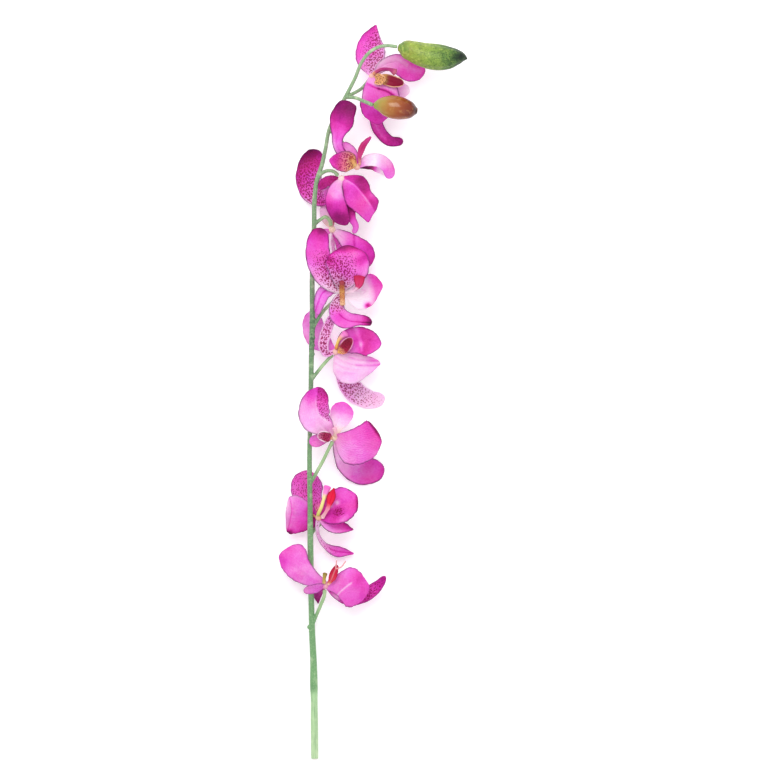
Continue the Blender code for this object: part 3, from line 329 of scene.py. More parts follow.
CREASE = 0.45  # depth of the fold along a midrib
CREASE_WIDTH = 0.1
RUFFLE = 0.28  # height of the small waves of a margin
RUFFLE_TURNS = 5.3  # how many of them a margin has
SWAY = 0.22  # height of the soft unevenness of a petal
NICK = 0.012  # unevenness of a margin as a share of the half width
NICK_TURNS = (6.1, 11.3)
STAGGER = 1.7  # turns by which these waves are moved on from petal to petal
FOLD_WIDTH = 0.2  # stretch across a petal that a fold takes up
RIM_WIDTH = 0.75  # reach of the dark margin
RIM_FALL = 1.5  # how sharply it ends
NARROW = 4.0  # half width below which a dark margin fades
SPOT_MARGIN = 1.6  # stretch along the margin in which spots fade
MOST_SPOTS = 1.15  # where spots would begin to touch
MOST_LEAN = 1.3  # how much denser spots can be on one side
THIN_EDGE = 0.45  # thickness of a margin as a share of the middle's
FLAP_EDGE = 1.4  # stretch over which a turned part begins
HEART_RADIUS = 2.9
HEART_AT = 3.0  # where a heart lies on the pattern of the petals
PATTERN_SHIFT = 37.0  # keeps the patterns of a bloom's petals apart
CAP_RINGS = 4  # rings that close the end of a tube
CAP_TIP = 0.02  # the last of them, as a share of the tube's radius
NO_RIM = 9.0  # far from any margin
CURVE_STEP = 0.01  # share of a curve over which its heading is measured

STEM_SPAN = 0.64  # metres along which the colours of the stem change
KNOT_AT = 0.565  # where its dark knots are, as a share of that
PALE_FROM, PALE_FADE = 3.5, 6.0  # where a stalk begins to be pale, counted from the middle of the stem
PALE_TOP, PALE_TOP_FADE = 520.0, 60.0  # how far up the stem its stalks are pale
PALE_STEPS = 700  # points on the middle of the stem that this is measured from

WHITE = (1.0, 1.0, 1.0, 1.0)
SKY = 0.8  # strength of the light from all round
FLOOR_HALF, FLOOR_DROP = 3.0, 0.0002  # metres
FLOOR_GLOW = 0.25
LAMPS = [
    # name, place in metres, power, size
    ("key", (-0.25, 0.95, 1.8), 24.0, 1.3),
    ("fill", (0.9, -1.0, 1.6), 4.0, 1.6),
]
PHOTO_PIXELS, PIXEL_MM = 760, 0.85
FOOT_PIXEL = 314.5  # where the cut end stands in the photo, counted from its left
LENS, SENSOR, FAR_CLIP = 400.0, 36.0, 50.0
CAMERA_RISE = 0.028  # height at which a pixel is PIXEL_MM wide, about the middle of the blooms

# How one petal is coloured and folded.
# Its tones are the depth of pink at even steps from root to tip, and lean deepens it to one side. Spots
# reach out from the root, gold is the warm ground near it, and rim is the dark margin.
# A fold is a side, where it starts across, its angle, and where along the petal it begins and is full.
# Lines, flaps and patches are placed by shares along and across. A line has two ends, a width, a rise
# and a tone. A flap is what lies beyond a line, with a tone, spots and a rise. A patch has a middle,
# a radius, a tone and spots. On many petals a line's tone is painted light and shade for its fold:
# paler as a painted highlight along a raised fold, darker as painted shade in a sunken crease. Some
# patches are painted highlights and some are painted shadows, and on a few petals the deepest tones
# at the root are painted shade.
Look = namedtuple(
    "Look", "tones spots reach rim lean spot_lean gold gold_reach veins folds lines flaps patches",
    defaults=(0.0, 0.6, 0.5, 0.0, 0.0, 0.0, 0.3, 0.5, (), (), (), ()),
)
PLAIN = Look((0.5,))

LOOKS = [
    [  # bloom 1
        Look((0.1, 0.3, 0.44, 0.62), spots=1.15, reach=1.25, rim=1.1, spot_lean=0.8, lean=-0.22),
        Look((0.16, 0.36, 0.62, 0.7), rim=1.0, lines=((0.15, -0.5, 0.9, -0.1, 3.0, 0.5, -0.14),)),
        Look((0.58, 0.58, 0.68, 0.78, 0.82), rim=1.4, patches=((0.35, -0.85, 6, -0.2, 0),),
             flaps=((0.2, -0.1, 0.52, 0.95, -0.2, 0, -0.8),),
             lines=((0.12, -0.3, 0.3, 0.2, 0.9, 0.3, 0.36), (0.3, 0.2, 0.52, 0.95, 1.0, 0.3, 0.46))),
        Look((0.2, 0.4, 0.34, 0.1), rim=0.1),
        Look((0.64, 0.56, 0.62, 0.76, 0.95), rim=1.2, lines=((0.3, 0.1, 0.8, 0.1, 1.6, 0.3, -0.16),)),
    ],
    [  # bloom 2
        # The first, dark line is painted shade in a sunken crease, and the second, pale line is a painted
        # highlight on a low ridge.
        Look((0.6, 0.46, 0.48, 0.64, 0.88, 1.04), rim=1.3, folds=((1, 0.55, 60, 0.5, 0.9),),
             flaps=((0.66, 1, 0.7, -1, 0.08, 0, 0.5),), patches=((0.62, 0.6, 3.0, 0.12, 0),),
             lines=((0.08, 0.2, 0.5, 0.5, 1.2, -0.6, 0.34), (0.1, -0.3, 0.5, -0.3, 2.0, 0.2, -0.14))),
        Look((0.5, 0.55, 0.72, 0.7), spots=1.1, reach=1.0, rim=1.1, gold=1.0, gold_reach=0.8),
        Look((0.66, 0.5, 0.4, 0.5), rim=1.0),
        Look((0.5, 0.1, 0.0, 0.3, 0.5, 0.46), rim=0.25),
        # This petal's dark root is deep plum colour and painted shade under the pale petal above it.
        Look((1.2, 1.2, 0.95, 0.3, 0.05, 0.05), rim=0.0),
    ],
    [  # bloom 3
        Look((0.82, 0.84, 0.86), rim=0.9, spots=0.7, reach=1.3),
        Look((0.7, 0.38, 0.34, 0.56, 1.0), spots=1.4, reach=1.25, rim=1.1, lean=-0.22,
             patches=((0.26, 0.05, 7.5, 0.22, -1.3), (0.46, -0.9, 6, -0.4, 0.2))),
        # The first, pale patch is a painted highlight on the bell's ridge.
        Look((0.22, 0.44, 0.8, 0.94, 1.02), rim=1.1, lean=-0.06,
             patches=((0.4, 0.1, 5, -0.18, 0), (0.75, -0.3, 6, 0.14, 0))),
        Look((0.54, 0.74, 0.72, 0.64, 0.74), rim=1.1, veins=0.9,
             flaps=((0.02, 0.1, 0.72, 0.5, 0.26, 0, -0.9),), lines=((0.1, 0.08, 0.7, 0.44, 1.2, 0.5, -0.16),),
             patches=((0.55, 0.8, 5, -0.3, 0),)),
        # The tail's dark root is deep crimson colour and painted shade inside the bell.
        Look((1.25, 1.25, 1.15, 0.7, 0.5), rim=0.6),
    ],
    [  # bloom 4
        # The dark line is painted shade in a sunken crease, and the pale patch near the root is a painted
        # highlight.
        Look((0.12, 0.5, 0.72, 0.86, 0.9), rim=1.2, veins=0.8, lines=((0.3, 0.9, 0.5, 0.1, 0.9, -0.8, 0.2),),
             patches=((0.25, -0.4, 5, -0.2, 0),)),
        Look((0.1, 0.2, 0.4), rim=0.3),
        Look((0.12, 0.22, 0.3), rim=0.1, gold=0.5, gold_reach=0.6),
        Look((0.5, 0.5, 0.5), rim=0.2),
        Look((0.5, 0.5, 0.5), rim=0.2),
    ],
    [  # bloom 5
        Look((0.0, 0.08, 0.34, 0.5, 0.64, 0.92), spots=1.25, reach=0.8, rim=1.2, spot_lean=0.6,
             patches=((0.45, -0.7, 7, -0.1, 0), (0.97, 0.0, 4, 0.2, 0))),
        Look((0.0, 0.04, 0.24, 0.4, 0.42, 0.47, 1.1), spots=1.4, reach=1.0, rim=1.3, spot_lean=-0.7,
             patches=((0.56, 0.8, 6, 0.06, -0.5), (0.72, -0.95, 4.5, 0.32, 0), (0.7, 0.66, 4.5, 0.26, 0),
                      (0.78, 0.95, 4, 0.24, 0))),
        Look((0.0, 0.0, 0.0, 0.08, 0.55, 0.66), rim=0.1, lean=-0.1, patches=((0.55, 0.86, 2.6, 1.0, 0),)),
        Look((0.4, 0.4, 0.42, 0.5), rim=1.0, spots=0.4, reach=0.5,
             lines=((0.1, 0.0, 0.9, 0.3, 0.7, -0.4, 0.25),)),
        Look((0.0, 0.08, 0.36, 0.46, 0.54, 1.1), spots=1.45, reach=0.5, rim=1.0,
             lines=((0.4, 0.05, 0.97, 0.1, 0.7, -0.5, 0.28),), patches=((0.44, 0.35, 5, 0.26, -0.5),)),
    ],
    [  # bloom 6
        Look((0.18, 0.14, 0.12, 0.18, 0.3), spots=1.3, reach=1.4, rim=0.35),
        Look((0.5, 0.45, 0.4, 0.42), rim=0.3),
        # The pale line is a painted highlight along a raised fold, and the first, pale patch is a painted
        # highlight.
        Look((0.5, 0.42, 0.56, 0.78, 0.7, 0.6), rim=1.1, lines=((0.5, -0.9, 0.56, 0.6, 1.6, 0.9, -0.16),),
             patches=((0.56, 0.25, 2.6, -0.3, 0), (0.42, 0.0, 4, 0.14, 0))),
        # The dark lines are painted shade in sunken creases, and the dark patch near the tip is a painted
        # shadow cast by the cup petal.
        Look((0.2, 0.22, 0.24, 0.36), rim=0.25, veins=0.2,
             lines=((0.05, -0.15, 0.6, -0.1, 0.7, -0.5, 0.1), (0.1, -0.4, 0.55, -0.3, 0.7, -0.5, 0.1),
                    (0.3, 0.3, 0.95, 0.3, 0.7, -0.6, 0.14), (0.2, -0.65, 0.5, -0.5, 0.8, -0.4, 0.08),
                    (0.5, -0.1, 1.0, -0.05, 1.0, -0.6, 0.2)), patches=((0.86, 0.5, 5, 0.16, 0),)),
        Look((0.26, 0.16, 0.08, 0.08), spots=1.15, reach=1.1, rim=0.05,
             patches=((0.45, -0.3, 4, 0.12, 0.2),)),
    ],
    [  # bloom 7
        # The pale line is a painted highlight along a raised fold.
        Look((0.2, 0.22, 0.24, 0.36, 0.75), spots=0.25, reach=1.0, rim=1.0,
             flaps=((0.28, 0.5, 0.92, -0.1, 0.1, 0.7, -1.2),),
             lines=((0.32, 0.46, 0.88, -0.06, 0.9, 0.5, -0.12),), patches=((0.8, -0.4, 6, 0.2, 0.3),)),
        Look((0.0, 0.02, 0.14, 0.5, 0.6), rim=0.0, gold=0.5, gold_reach=0.4),
        Look((0.5, 0.44, 0.5), rim=0.3),
        Look((0.44, 0.5, 0.6, 0.64, 0.68), rim=1.3, lean=0.1, veins=1.4,
             lines=((0.86, 0.97, 1.0, 0.1, 1.6, 0.0, 0.4),),
             patches=((0.75, 0.4, 6, 0.02, 0), (0.35, 0.0, 6, -0.08, 0))),
        Look((0.1, 0.16, 0.32, 0.56, 0.7), rim=1.4, patches=((0.6, 0.6, 7, 0.06, 0),)),
    ],
    [  # bloom 8
        Look((0.46, 0.44, 0.44, 0.54), spots=0.85, reach=1.5, rim=1.2, gold=0.95, gold_reach=0.4,
             patches=((0.6, 0.2, 5, 0.12, 0.2),)),
        Look((0.86, 0.72, 0.56, 0.46, 0.28), rim=0.8, lean=-0.14, lines=((0.8, -1, 0.8, 1, 0.7, -0.6, 0.16),),
             patches=((0.72, -0.98, 3.4, 0.6, 0), (0.4, -0.98, 4, 0.4, 0), (0.3, 0.2, 6, 0.1, 0))),
        # The last two, strongly pale patches are a painted highlight streak.
        Look((0.76, 0.74, 0.66, 0.62, 0.66), rim=1.3, lines=((0.8, 0.9, 1.0, 0.0, 1.3, 0.0, 0.26),),
             patches=((0.45, 0.25, 5.0, 0.06, 1.5), (0.45, 0.75, 4, -0.2, 0), (0.38, -0.34, 2.2, -0.44, 0),
                      (0.54, -0.27, 2.4, -0.44, 0))),
        Look((0.44, 0.5, 0.58, 0.9), rim=1.2, lean=-0.2),
        Look((0.1, 0.14, 0.24, 0.54, 0.62), rim=1.1, spots=0.8, reach=0.9,
             lines=((0.6, 0.0, 0.95, 0.0, 0.7, -0.3, 0.2),)),
    ],
    [  # bloom 9
        Look((0.46, 0.5, 0.54, 0.56, 0.66), rim=1.1,
             patches=((0.85, 0.3, 6, 0.14, 0), (0.3, -0.2, 6, -0.06, 0))),
        # The pale line is a painted highlight along a raised fold.
        Look((0.5, 0.54, 0.6, 0.64, 0.68), rim=1.0, lines=((0.24, -0.5, 0.56, 0.14, 0.8, 0.6, -0.34),),
             patches=((0.75, 0.4, 6, 0.1, 0), (0.85, -0.4, 5, 0.1, 0))),
        Look((0.5, 0.54, 0.58, 0.76), spots=1.1, reach=1.3, rim=0.9, patches=((0.2, 0.45, 5, -0.34, -1.2),)),
        Look((0.45, 0.42, 0.42), rim=0.9, spots=0.4, reach=1.2),
        Look((0.9, 0.95, 1.0), rim=0.6),
    ],
]

# The heart of each bloom: its tone and how golden it is
HEARTS = [
    (0.2, 0.55), (0.2, 0.6), (0.02, 0.3), (0.05, 0.5), (0.1, 0.3),
    (0.2, 0.5), (0.04, 0.5), (0.2, 0.7), (0.35, 0.4),
]

# The lip of each bloom: colours from foot to tip, colour and strength of its rim, spots, pale streak
LIPS = [
    (((0.0, "e2ad5e"), (0.36, "d0985c"), (0.46, "8a3a34"), (0.54, "8e1036"), (1.0, "7e0c34")),
     "f0bd98", 1.0, 0.3, 0.0),
    (((0.0, "e0a08c"), (0.25, "c8407e"), (0.6, "b81f68"), (1.0, "cc3a90")), "7c0d48", 0.5, 0.0, 0.0),
    (((0.0, "c8607c"), (0.3, "8c1048"), (1.0, "6e0a3a")), "5a0830", 0.3, 0.0, 0.0),
    (((0.0, "e8b0b4"), (0.4, "c43a6c"), (1.0, "a81e54")), "7c0d48", 0.3, 0.0, 0.0),
    (((0.0, "f6e2ee"), (0.5, "f0c4e0"), (0.58, "d8407a"), (1.0, "c41c50")), "a00c3c", 0.9, 0.0, 0.0),
    (((0.0, "eeb45c"), (0.28, "e08a74"), (0.4, "a0163e"), (0.82, "820c32"), (1.0, "b22858")),
     "f2a6cc", 0.9, 0.9, 0.0),
    (((0.0, "e4a888"), (0.2, "b83468"), (0.6, "a4204e"), (0.85, "c05a88"), (1.0, "dc8cb8")),
     "fae0f0", 1.2, 1.1, 0.0),
    (((0.0, "f4c4cc"), (0.36, "f08cac"), (0.54, "e81c4a"), (1.0, "e0143e")), "b00c30", 0.8, 0.0, 0.0),
    (((0.0, "ecbc80"), (0.2, "dc4054"), (0.6, "cc1840"), (1.0, "b81448")), "8c0c34", 0.5, 0.0, 0.7),
]

# The column of each bloom: colours from foot to cap and how spotted it is
COLUMNS = [
    (((0.0, "e2a46c"), (0.18, "bc4678"), (0.6, "a42872"), (0.86, "a83470"), (1.0, "c0607c")), 0.3),
    (((0.0, "ecc87c"), (0.6, "e4a866"), (1.0, "a84a3c")), 0.8),
    (((0.0, "e8c090"), (1.0, "b84a70")), 0.3),
    (((0.0, "e8c090"), (1.0, "c86a8c")), 0.3),
    (((0.0, "e4b48c"), (0.3, "c07c48"), (0.55, "cc9454"), (0.8, "b8683a"), (1.0, "a03c48")), 1.3),
    (((0.0, "e08a4c"), (0.4, "f2d470"), (0.66, "f2b08c"), (0.85, "ee90cc"), (1.0, "e878c4")), 0.2),
    (((0.0, "f6e0c4"), (1.0, "f2b4cc")), 0.1),
    (((0.0, "c8cc60"), (0.2, "e4dc80"), (0.68, "f2e49c"), (0.8, "f08cd0"), (1.0, "ee6cc8")), 0.2),
    (((0.0, "e0c880"), (0.5, "bca450"), (1.0, "8c7c3c")), 0.5),
]


def unit(vector):
    """The vector scaled to length one."""
    vector = np.asarray(vector, float)
    return vector / max(np.linalg.norm(vector), 1e-9)


def units(rows):
    """Every vector of an array scaled to length one."""
    return rows / np.maximum(np.linalg.norm(rows, axis=-1, keepdims=True), 1e-9)


def ease(value):
    """A smooth step from 0 to 1."""
    value = np.clip(value, 0.0, 1.0)
    return value * value * (3 - 2 * value)


def bell(distance, width):
    """A soft hump that is 1 in the middle and falls off with distance."""
    return np.exp(-((distance / width) ** 2))


def swing(turns):
    """A sine wave that repeats at every whole turn."""
    return np.sin(2 * math.pi * turns)


def spread(values, along):
    """Value at each place from values at even steps from the root to the tip."""
    return np.interp(along, np.linspace(0.0, 1.0, len(values)), values)


def seat(hub, toward, distance):
    """A point off the heart of a bloom, in the direction of another point."""
    hub = np.asarray(hub, float)
    return hub + unit(np.asarray(toward, float) - hub) * distance


def smooth_curve(points, places):
    """Points on a smooth curve through the given rows, at fractions of its length."""
    rows = np.asarray(points, float)
    steps = np.linalg.norm(np.diff(rows[:, :3], axis=0), axis=1)
    knots = np.concatenate([[0.0], np.cumsum(steps)])
    slopes = np.gradient(rows, knots, axis=0)
    places = np.clip(np.asarray(places, float), 0.0, 1.0) * knots[-1]
    span = np.clip(np.searchsorted(knots, places, side="right") - 1, 0, len(rows) - 2)
    width = (knots[span + 1] - knots[span])[..., None]
    t = (places - knots[span])[..., None] / width
    return (
        (2 * t**3 - 3 * t**2 + 1) * rows[span]
        + (t**3 - 2 * t**2 + t) * width * slopes[span]
        + (3 * t**2 - 2 * t**3) * rows[span + 1]
        + (t**3 - t**2) * width * slopes[span + 1]
    )


def headings(points, places):
    """Unit directions along that curve, at fractions of its length."""
    step = smooth_curve(points, places + CURVE_STEP) - smooth_curve(points, places - CURVE_STEP)
    return units(step[..., :3])


def width_share(profile, along):
    """Half width of a petal along its midrib, as a share of the widest."""
    *widths, _, roundness = profile
    steps = np.linspace(0.0, 1.0, 5)
    table = np.stack([steps, steps * 0, steps * 0, widths], axis=1)
    share = smooth_curve(table, along)[..., 3]
    outer = np.clip((along - steps[3]) / (1 - steps[3]), 0.0, 1.0)
    arch = widths[4] + (widths[3] - widths[4]) * np.sqrt(1 - outer**2)
    return np.where(along > steps[3], (1 - roundness) * share + roundness * arch, share)


def from_middle(values, across):
    """The running sum of values across a petal, counted from its midrib."""
    step = across[0, 1] - across[0, 0]
    total = np.cumsum((values[:, 1:] + values[:, :-1]) / 2 * step, axis=1)
    total = np.concatenate([np.zeros((len(values), 1)), total], axis=1)
    return total - total[:, [values.shape[1] // 2]]


def marks(shape, look, length, u, v):
    """What the lines, flaps and patches of a petal add to its tone, painted light and shade included, its
    spots and its height.
    """
    tone, spots, rise = np.zeros((3,) + u.shape)
    points = np.stack([v, u], axis=2)

    def spot(along, across):
        return np.array([along * length, across * shape.widths[int(across > 0)]])

    for *ends, width, line_rise, line_tone_and_shading in look.lines:
        start = spot(*ends[:2])
        run = spot(*ends[2:]) - start
        offset = points - start
        nearest = np.clip((offset @ run) / (run @ run), 0.0, 1.0)[..., None] * run
        drawn = bell(np.linalg.norm(offset - nearest, axis=2), width)
        rise += line_rise * drawn
        # where a line rises or sinks, its tone is mostly painted light and shade: paler on a raised fold,
        # darker in a sunken crease
        tone += line_tone_and_shading * drawn
    for *ends, flap_tone, flap_spots, flap_rise in look.flaps:
        start = spot(*ends[:2])
        run = unit(spot(*ends[2:]) - start)
        turned = ease((points - start) @ np.array([-run[1], run[0]]) / FLAP_EDGE + 0.5)
        rise += flap_rise * turned
        tone += flap_tone * turned
        spots += flap_spots * turned
    for along, across, radius, patch_tone_and_shading, patch_spots in look.patches:
        dab = bell(np.linalg.norm(points - spot(along, across), axis=2), radius)
        # some patches are painted highlights and some are painted shadows; the rest are the petal's own
        # colour
        tone += patch_tone_and_shading * dab
        spots += patch_spots * dab
    return tone, spots, rise


def petal_surface(shape, root, grid, look=PLAIN, number=0):
    """The middle surface of a petal, its normals, and where each point lies on it."""
    rows, columns = grid
    along = np.linspace(0.0, 1.0, rows + 1)[:, None] * np.ones((1, columns + 1))
    across = np.linspace(-1.0, 1.0, columns + 1)[None, :] * np.ones((rows + 1, 1))
    left, outward, side_sign = across < 0, np.abs(across), np.sign(across)
    names = shape.outline if isinstance(shape.outline, tuple) else (shape.outline,) * 2
    profiles = [OUTLINES[name] for name in names]
    spine = np.array([root, *shape.spine[1:]], float)
    length = np.linalg.norm(np.diff(spine, axis=0), axis=1).sum()
    bow = profiles[0][5] * sum(shape.widths) / 2 / length
    place = np.clip(along - bow * along**4 * across**2, 0.0, 1.0)
    ahead = headings(spine, place)
    face = unit(shape.face)
    face = units(face - (face * ahead).sum(axis=2, keepdims=True) * ahead)
    side = np.cross(ahead, face)
    half = np.where(left, *shape.widths) * np.where(left, *[width_share(row, along) for row in profiles])

    # the margin is slightly uneven
    height, turns, phase = shape.wave
    shift = phase + STAGGER * number
    nick = swing(NICK_TURNS[0] * along + shift) + 0.6 * swing(NICK_TURNS[1] * along + 2 * shift)
    width = half * (1 + NICK * nick * across**4)

    # the blade is cupped across, folded, and waves more towards its margin
    bend = np.radians(shape.cup[0] + (shape.cup[1] - shape.cup[0]) * along) * across
    for which, start, angle, begin, full in look.folds:
        turned = ease((which * across - start) / FOLD_WIDTH) * ease((along - begin) / (full - begin))
        bend = bend + which * math.radians(angle) * turned
    reach = width * from_middle(np.cos(bend), across)
    lift = width * from_middle(np.sin(bend), across)
    turn = 2 * math.pi * (turns * along + phase) + 2.0 * side_sign
    lift = lift + height * outward**MARGIN_WAVE * along * np.sin(turn)
    lift = lift - CREASE * bell(across, CREASE_WIDTH) * np.sin(math.pi * along) ** 0.6
    ripple = np.sin(2 * math.pi * (RUFFLE_TURNS * along + shift) + 1.7 * side_sign)
    lift = lift + RUFFLE * outward**5 * ripple * along
    u, v = width * across, place * length
    sway = np.sin(0.33 * u + 0.21 * v + 5 * shift) + 0.6 * np.sin(0.47 * v - 0.38 * u + 3 * shift)
    lift = lift + SWAY * sway * np.clip(along * 4, 0, 1)
    # this tone includes painted highlights on raised folds and painted shade in creases and under other
    # petals
    tone, spots, rise = marks(shape, look, length, u, v)
    lift = lift + rise

    surface = smooth_curve(spine, place) + side * reach[..., None] + face * lift[..., None]
    normals = units(np.cross(np.gradient(surface, axis=1), np.gradient(surface, axis=0)))
    wanted = face * np.cos(bend)[..., None] - side * np.sin(bend)[..., None]
    normals = np.where((normals * wanted).sum(axis=2, keepdims=True) > 0.5, normals, wanted)
    rim = np.minimum((1 - outward) * half, (1 - along) * length + 0.5 * (1 - across**2))
    where = dict(along=along, across=across, rim=rim, half=half, u=u, v=v, tone=tone, spots=spots)
    return surface, normals, where


class Pile:
    """Points, faces and point values gathered for one mesh object."""

    def __init__(self, *channels):
        self.points, self.faces, self.count = [], [], 0
        self.values = {name: [] for name in channels}

    def add(self, points, faces, **values):
        """Add points and faces. A value is one number, or a number for each point."""
        points = np.asarray(points, float).reshape(-1, 3)
        self.points.append(points)
        self.faces += [tuple(self.count + i for i in face) for face in faces]
        for name, rows in self.values.items():
            rows.append(np.broadcast_to(np.ravel(values.get(name, 0.0)), len(points)))
        self.count += len(points)

    def build(self, name, material, node):
        """The finished object, standing for its CAD node."""
        mesh = bpy.data.meshes.new(name)
        points = (np.concatenate(self.points) - MIDDLE) * MM
        mesh.from_pydata(points.tolist(), [], self.faces)
        for channel, rows in self.values.items():
            add_values(mesh, channel, np.concatenate(rows))
        mesh.polygons.foreach_set("use_smooth", [True] * len(mesh.polygons))
        mesh.materials.append(material)
        mesh.update()
        thing = link_object(name, mesh)
        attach(thing, "root")
        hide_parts(node)
        return thing


def link_object(name, data, place=(0, 0, 0)):
    """A new object of the scene, at a place in metres."""
    thing = bpy.data.objects.new(name, data)
    thing.location = place
    bpy.context.scene.collection.objects.link(thing)
    return thing


def add_values(mesh, name, values):
    """Store one number for each point of a mesh."""
    layer = mesh.attributes.new(name, "FLOAT", "POINT")
    layer.data.foreach_set("value", values.astype(np.float32))


def wrap(first, rings, sides):
    """Faces between closed rings of points, counted from the first point."""
    faces = []
    for i in range(rings - 1):
        for k in range(sides):
            a, b = first + i * sides + k, first + i * sides + (k + 1) % sides
            faces.append((a, a + sides, b + sides, b))
    return faces


def blade(pile, surface, normals, thickness, **values):
    """Add a thin closed blade round a middle surface, thinner to its margin and never below the floor."""
    rows, columns = surface.shape[:2]
    outward = np.abs(np.linspace(-1.0, 1.0, columns))[None, :]
    along = np.linspace(0.0, 1.0, rows)[:, None]
    half = thickness / 2 * (1 - (1 - THIN_EDGE) * np.maximum(outward**3, along**6))
    pressed = surface[..., 2] < half
    surface, normals = surface.copy(), normals.copy()
    surface[..., 2] = np.maximum(surface[..., 2], half)
    normals[pressed] = np.sign(normals[pressed][:, 2:]) * (0.0, 0.0, 1.0)
    offset = normals * half[..., None]
    points = np.stack([surface + offset, surface - offset])
    points[..., 2] = np.maximum(points[..., 2], 0.0)
    under = rows * columns
    faces = []
    for i in range(rows - 1):
        for j in range(columns - 1):
            a = i * columns + j
            faces.append((a, a + 1, a + columns + 1, a + columns))
            faces.append((under + a, under + a + columns, under + a + columns + 1, under + a + 1))
    index = np.arange(under).reshape(rows, columns)
    rim = np.concatenate([index[0], index[1:, -1], index[-1, -2::-1], index[-2:0:-1, 0]]).tolist()
    for here, there in zip(rim, rim[1:] + rim[:1]):
        faces.append((here, under + here, under + there, there))
    doubled = {name: np.tile(np.broadcast_to(value, half.shape).ravel(), 2) for name, value in values.items()}
    pile.add(points, faces, inner=np.repeat([1.0, 0.0], under), **doubled)


def tube(pile, path, grid, shape=None, round_start=True, **values):
    """Add a round tube along x, y, z, radius rows; shape(along, turn) scales its radius."""
    rings, sides = grid
    places = np.linspace(0.0, 1.0, rings + 1)
    rows, ahead = smooth_curve(path, places), headings(path, places)
    caps = np.linspace(0.0, math.pi / 2, CAP_RINGS + 1)[1:]

    def cap(end, way, angles):
        """Rings that close one end with a low dome."""
        middle, radius = rows[end][:3], rows[end][3]
        return [
            (middle + way * ahead[end] * CAP_BULGE * radius * math.sin(angle), ahead[end],
             radius * max(math.cos(angle), CAP_TIP), places[end])
            for angle in angles
        ]

    stations = cap(0, -1, caps[::-1]) if round_start else []
    stations += [(row[:3], way, row[3], place) for row, way, place in zip(rows, ahead, places)]
    stations += cap(-1, 1, caps)
    up = np.array([0.0, 0.0, 1.0]) if abs(ahead[0][2]) < 0.9 else np.array([0.0, 1.0, 0.0])
    points, along = [], []
    for centre, way, radius, place in stations:
        across = unit(np.cross(way, up))
        up = unit(np.cross(across, way))
        for k in range(sides):
            turn = 2 * math.pi * (k + 0.5) / sides
            scale = shape(place, turn) if shape else 1.0
            points.append(centre + radius * scale * (math.cos(turn) * across + math.sin(turn) * up))
            along.append(place)
    faces = wrap(0, len(stations), sides)
    faces.append(tuple(range(sides)))
    faces.append(tuple(range(len(points) - 1, len(points) - 1 - sides, -1)))
    pile.add(points, faces, along=along, **values)


def ball(pile, centre, radius, grid=BALL_FINE, **values):
    """Add a closed round ball."""
    rings, sides = grid
    centre = np.asarray(centre, float)
    points = [centre + [0, 0, radius]]
    for i in range(1, rings):
        tilt = math.pi * i / rings
        for k in range(sides):
            turn = 2 * math.pi * k / sides
            offset = [math.sin(tilt) * math.cos(turn), math.sin(tilt) * math.sin(turn), math.cos(tilt)]
            points.append(centre + radius * np.array(offset))
    points.append(centre - [0, 0, radius])
    last, pole = 1 + (rings - 2) * sides, len(points) - 1
    faces = [(0, 1 + k, 1 + (k + 1) % sides) for k in range(sides)]
    faces += wrap(1, rings - 1, sides)
    faces += [(last + k, pole, last + (k + 1) % sides) for k in range(sides)]
    pile.add(points, faces, **values)


def build_petals(name, bloom, looks, heart, material):
    """The petals of a bloom with their fine shape and the values that colour them."""
    pile = Pile("across", "tone", "speckle", "rim", "gold", "veins", "inner", "u", "v")
    for number, (shape, look) in enumerate(zip(bloom.petals, looks)):
        root = seat(bloom.hub, shape.spine[0], ROOT_DEPTH)
        surface, normals, where = petal_surface(shape, root, PETAL_FINE, look, number)
        along, across = where["along"], where["across"]
        fade = 1 - np.clip(along / look.reach, 0, 1) ** 3
        speckle = look.spots * fade * np.clip(1 + look.spot_lean * across, 0.0, MOST_LEAN)
        speckle = np.minimum(speckle + where["spots"], MOST_SPOTS) * np.clip(where["rim"] / SPOT_MARGIN, 0, 1)
        rim = look.rim * np.exp(-((where["rim"] / RIM_WIDTH) ** RIM_FALL)) * np.clip(along * 6, 0, 1)
        blade(
            pile, surface, normals, BLADE,
            across=across,
            # the tone also carries painted highlights and painted shade from the lines and patches
            tone=spread(look.tones, along) + look.lean * across + where["tone"],
            speckle=speckle,
            rim=rim * np.clip(where["half"] / NARROW, 0, 1),
            gold=look.gold * (1 - ease(along / look.gold_reach)),
            veins=look.veins,
            u=where["u"] + PATTERN_SHIFT * number,
            v=where["v"],
        )
    ball(pile, bloom.hub, HEART_RADIUS, tone=heart[0], gold=heart[1], v=HEART_AT)
    pile.build(name + "_petals_fine", material, name + "_petals")


def build_lip(name, bloom, material):
    """The cupped lip of a bloom with its foot, its side lobes and any tendrils."""
    pile = Pile("along", "across", "rim", "lobe", "u", "v")
    foot = seat(bloom.hub, bloom.lip[0], HUB_RADIUS + SEAT_GAP + BEAD_RADIUS)
    middle = Petal(bloom.lip, (bloom.lip_half,) * 2, bloom.lip_outline, bloom.lip_face, bloom.lip_cup)
    for number, shape in enumerate([middle, *bloom.lobes]):
        surface, normals, where = petal_surface(shape, foot, LIP_FINE)
        blade(pile, surface, normals, LIP_BLADE, lobe=float(number > 0), **where)
    ball(pile, foot, BEAD_RADIUS, BEAD_FINE, rim=NO_RIM)
    for path in bloom.tendrils:
        tube(pile, [(*point, TENDRIL_RADIUS) for point in path], TENDRIL_FINE, rim=NO_RIM)
    pile.build(name + "_lip_fine", material, name + "_lip")


def build_column(name, bloom, material):
    """The column of a bloom, a bent peg with a rounded cap."""
    radius = bloom.column_radius
    path = [(*point, radius) for point in bloom.column]
    if bloom.seated:
        foot = seat(bloom.hub, bloom.column[0], HUB_RADIUS + SEAT_GAP + COLUMN_FOOT * radius)
        path[0] = (*foot, radius)
    path[-1] = (*bloom.column[-1], bloom.column_cap)
    pile = Pile("along")
    tube(pile, path, COLUMN_FINE)
    pile.build(name + "_column_fine", material, name + "_column")


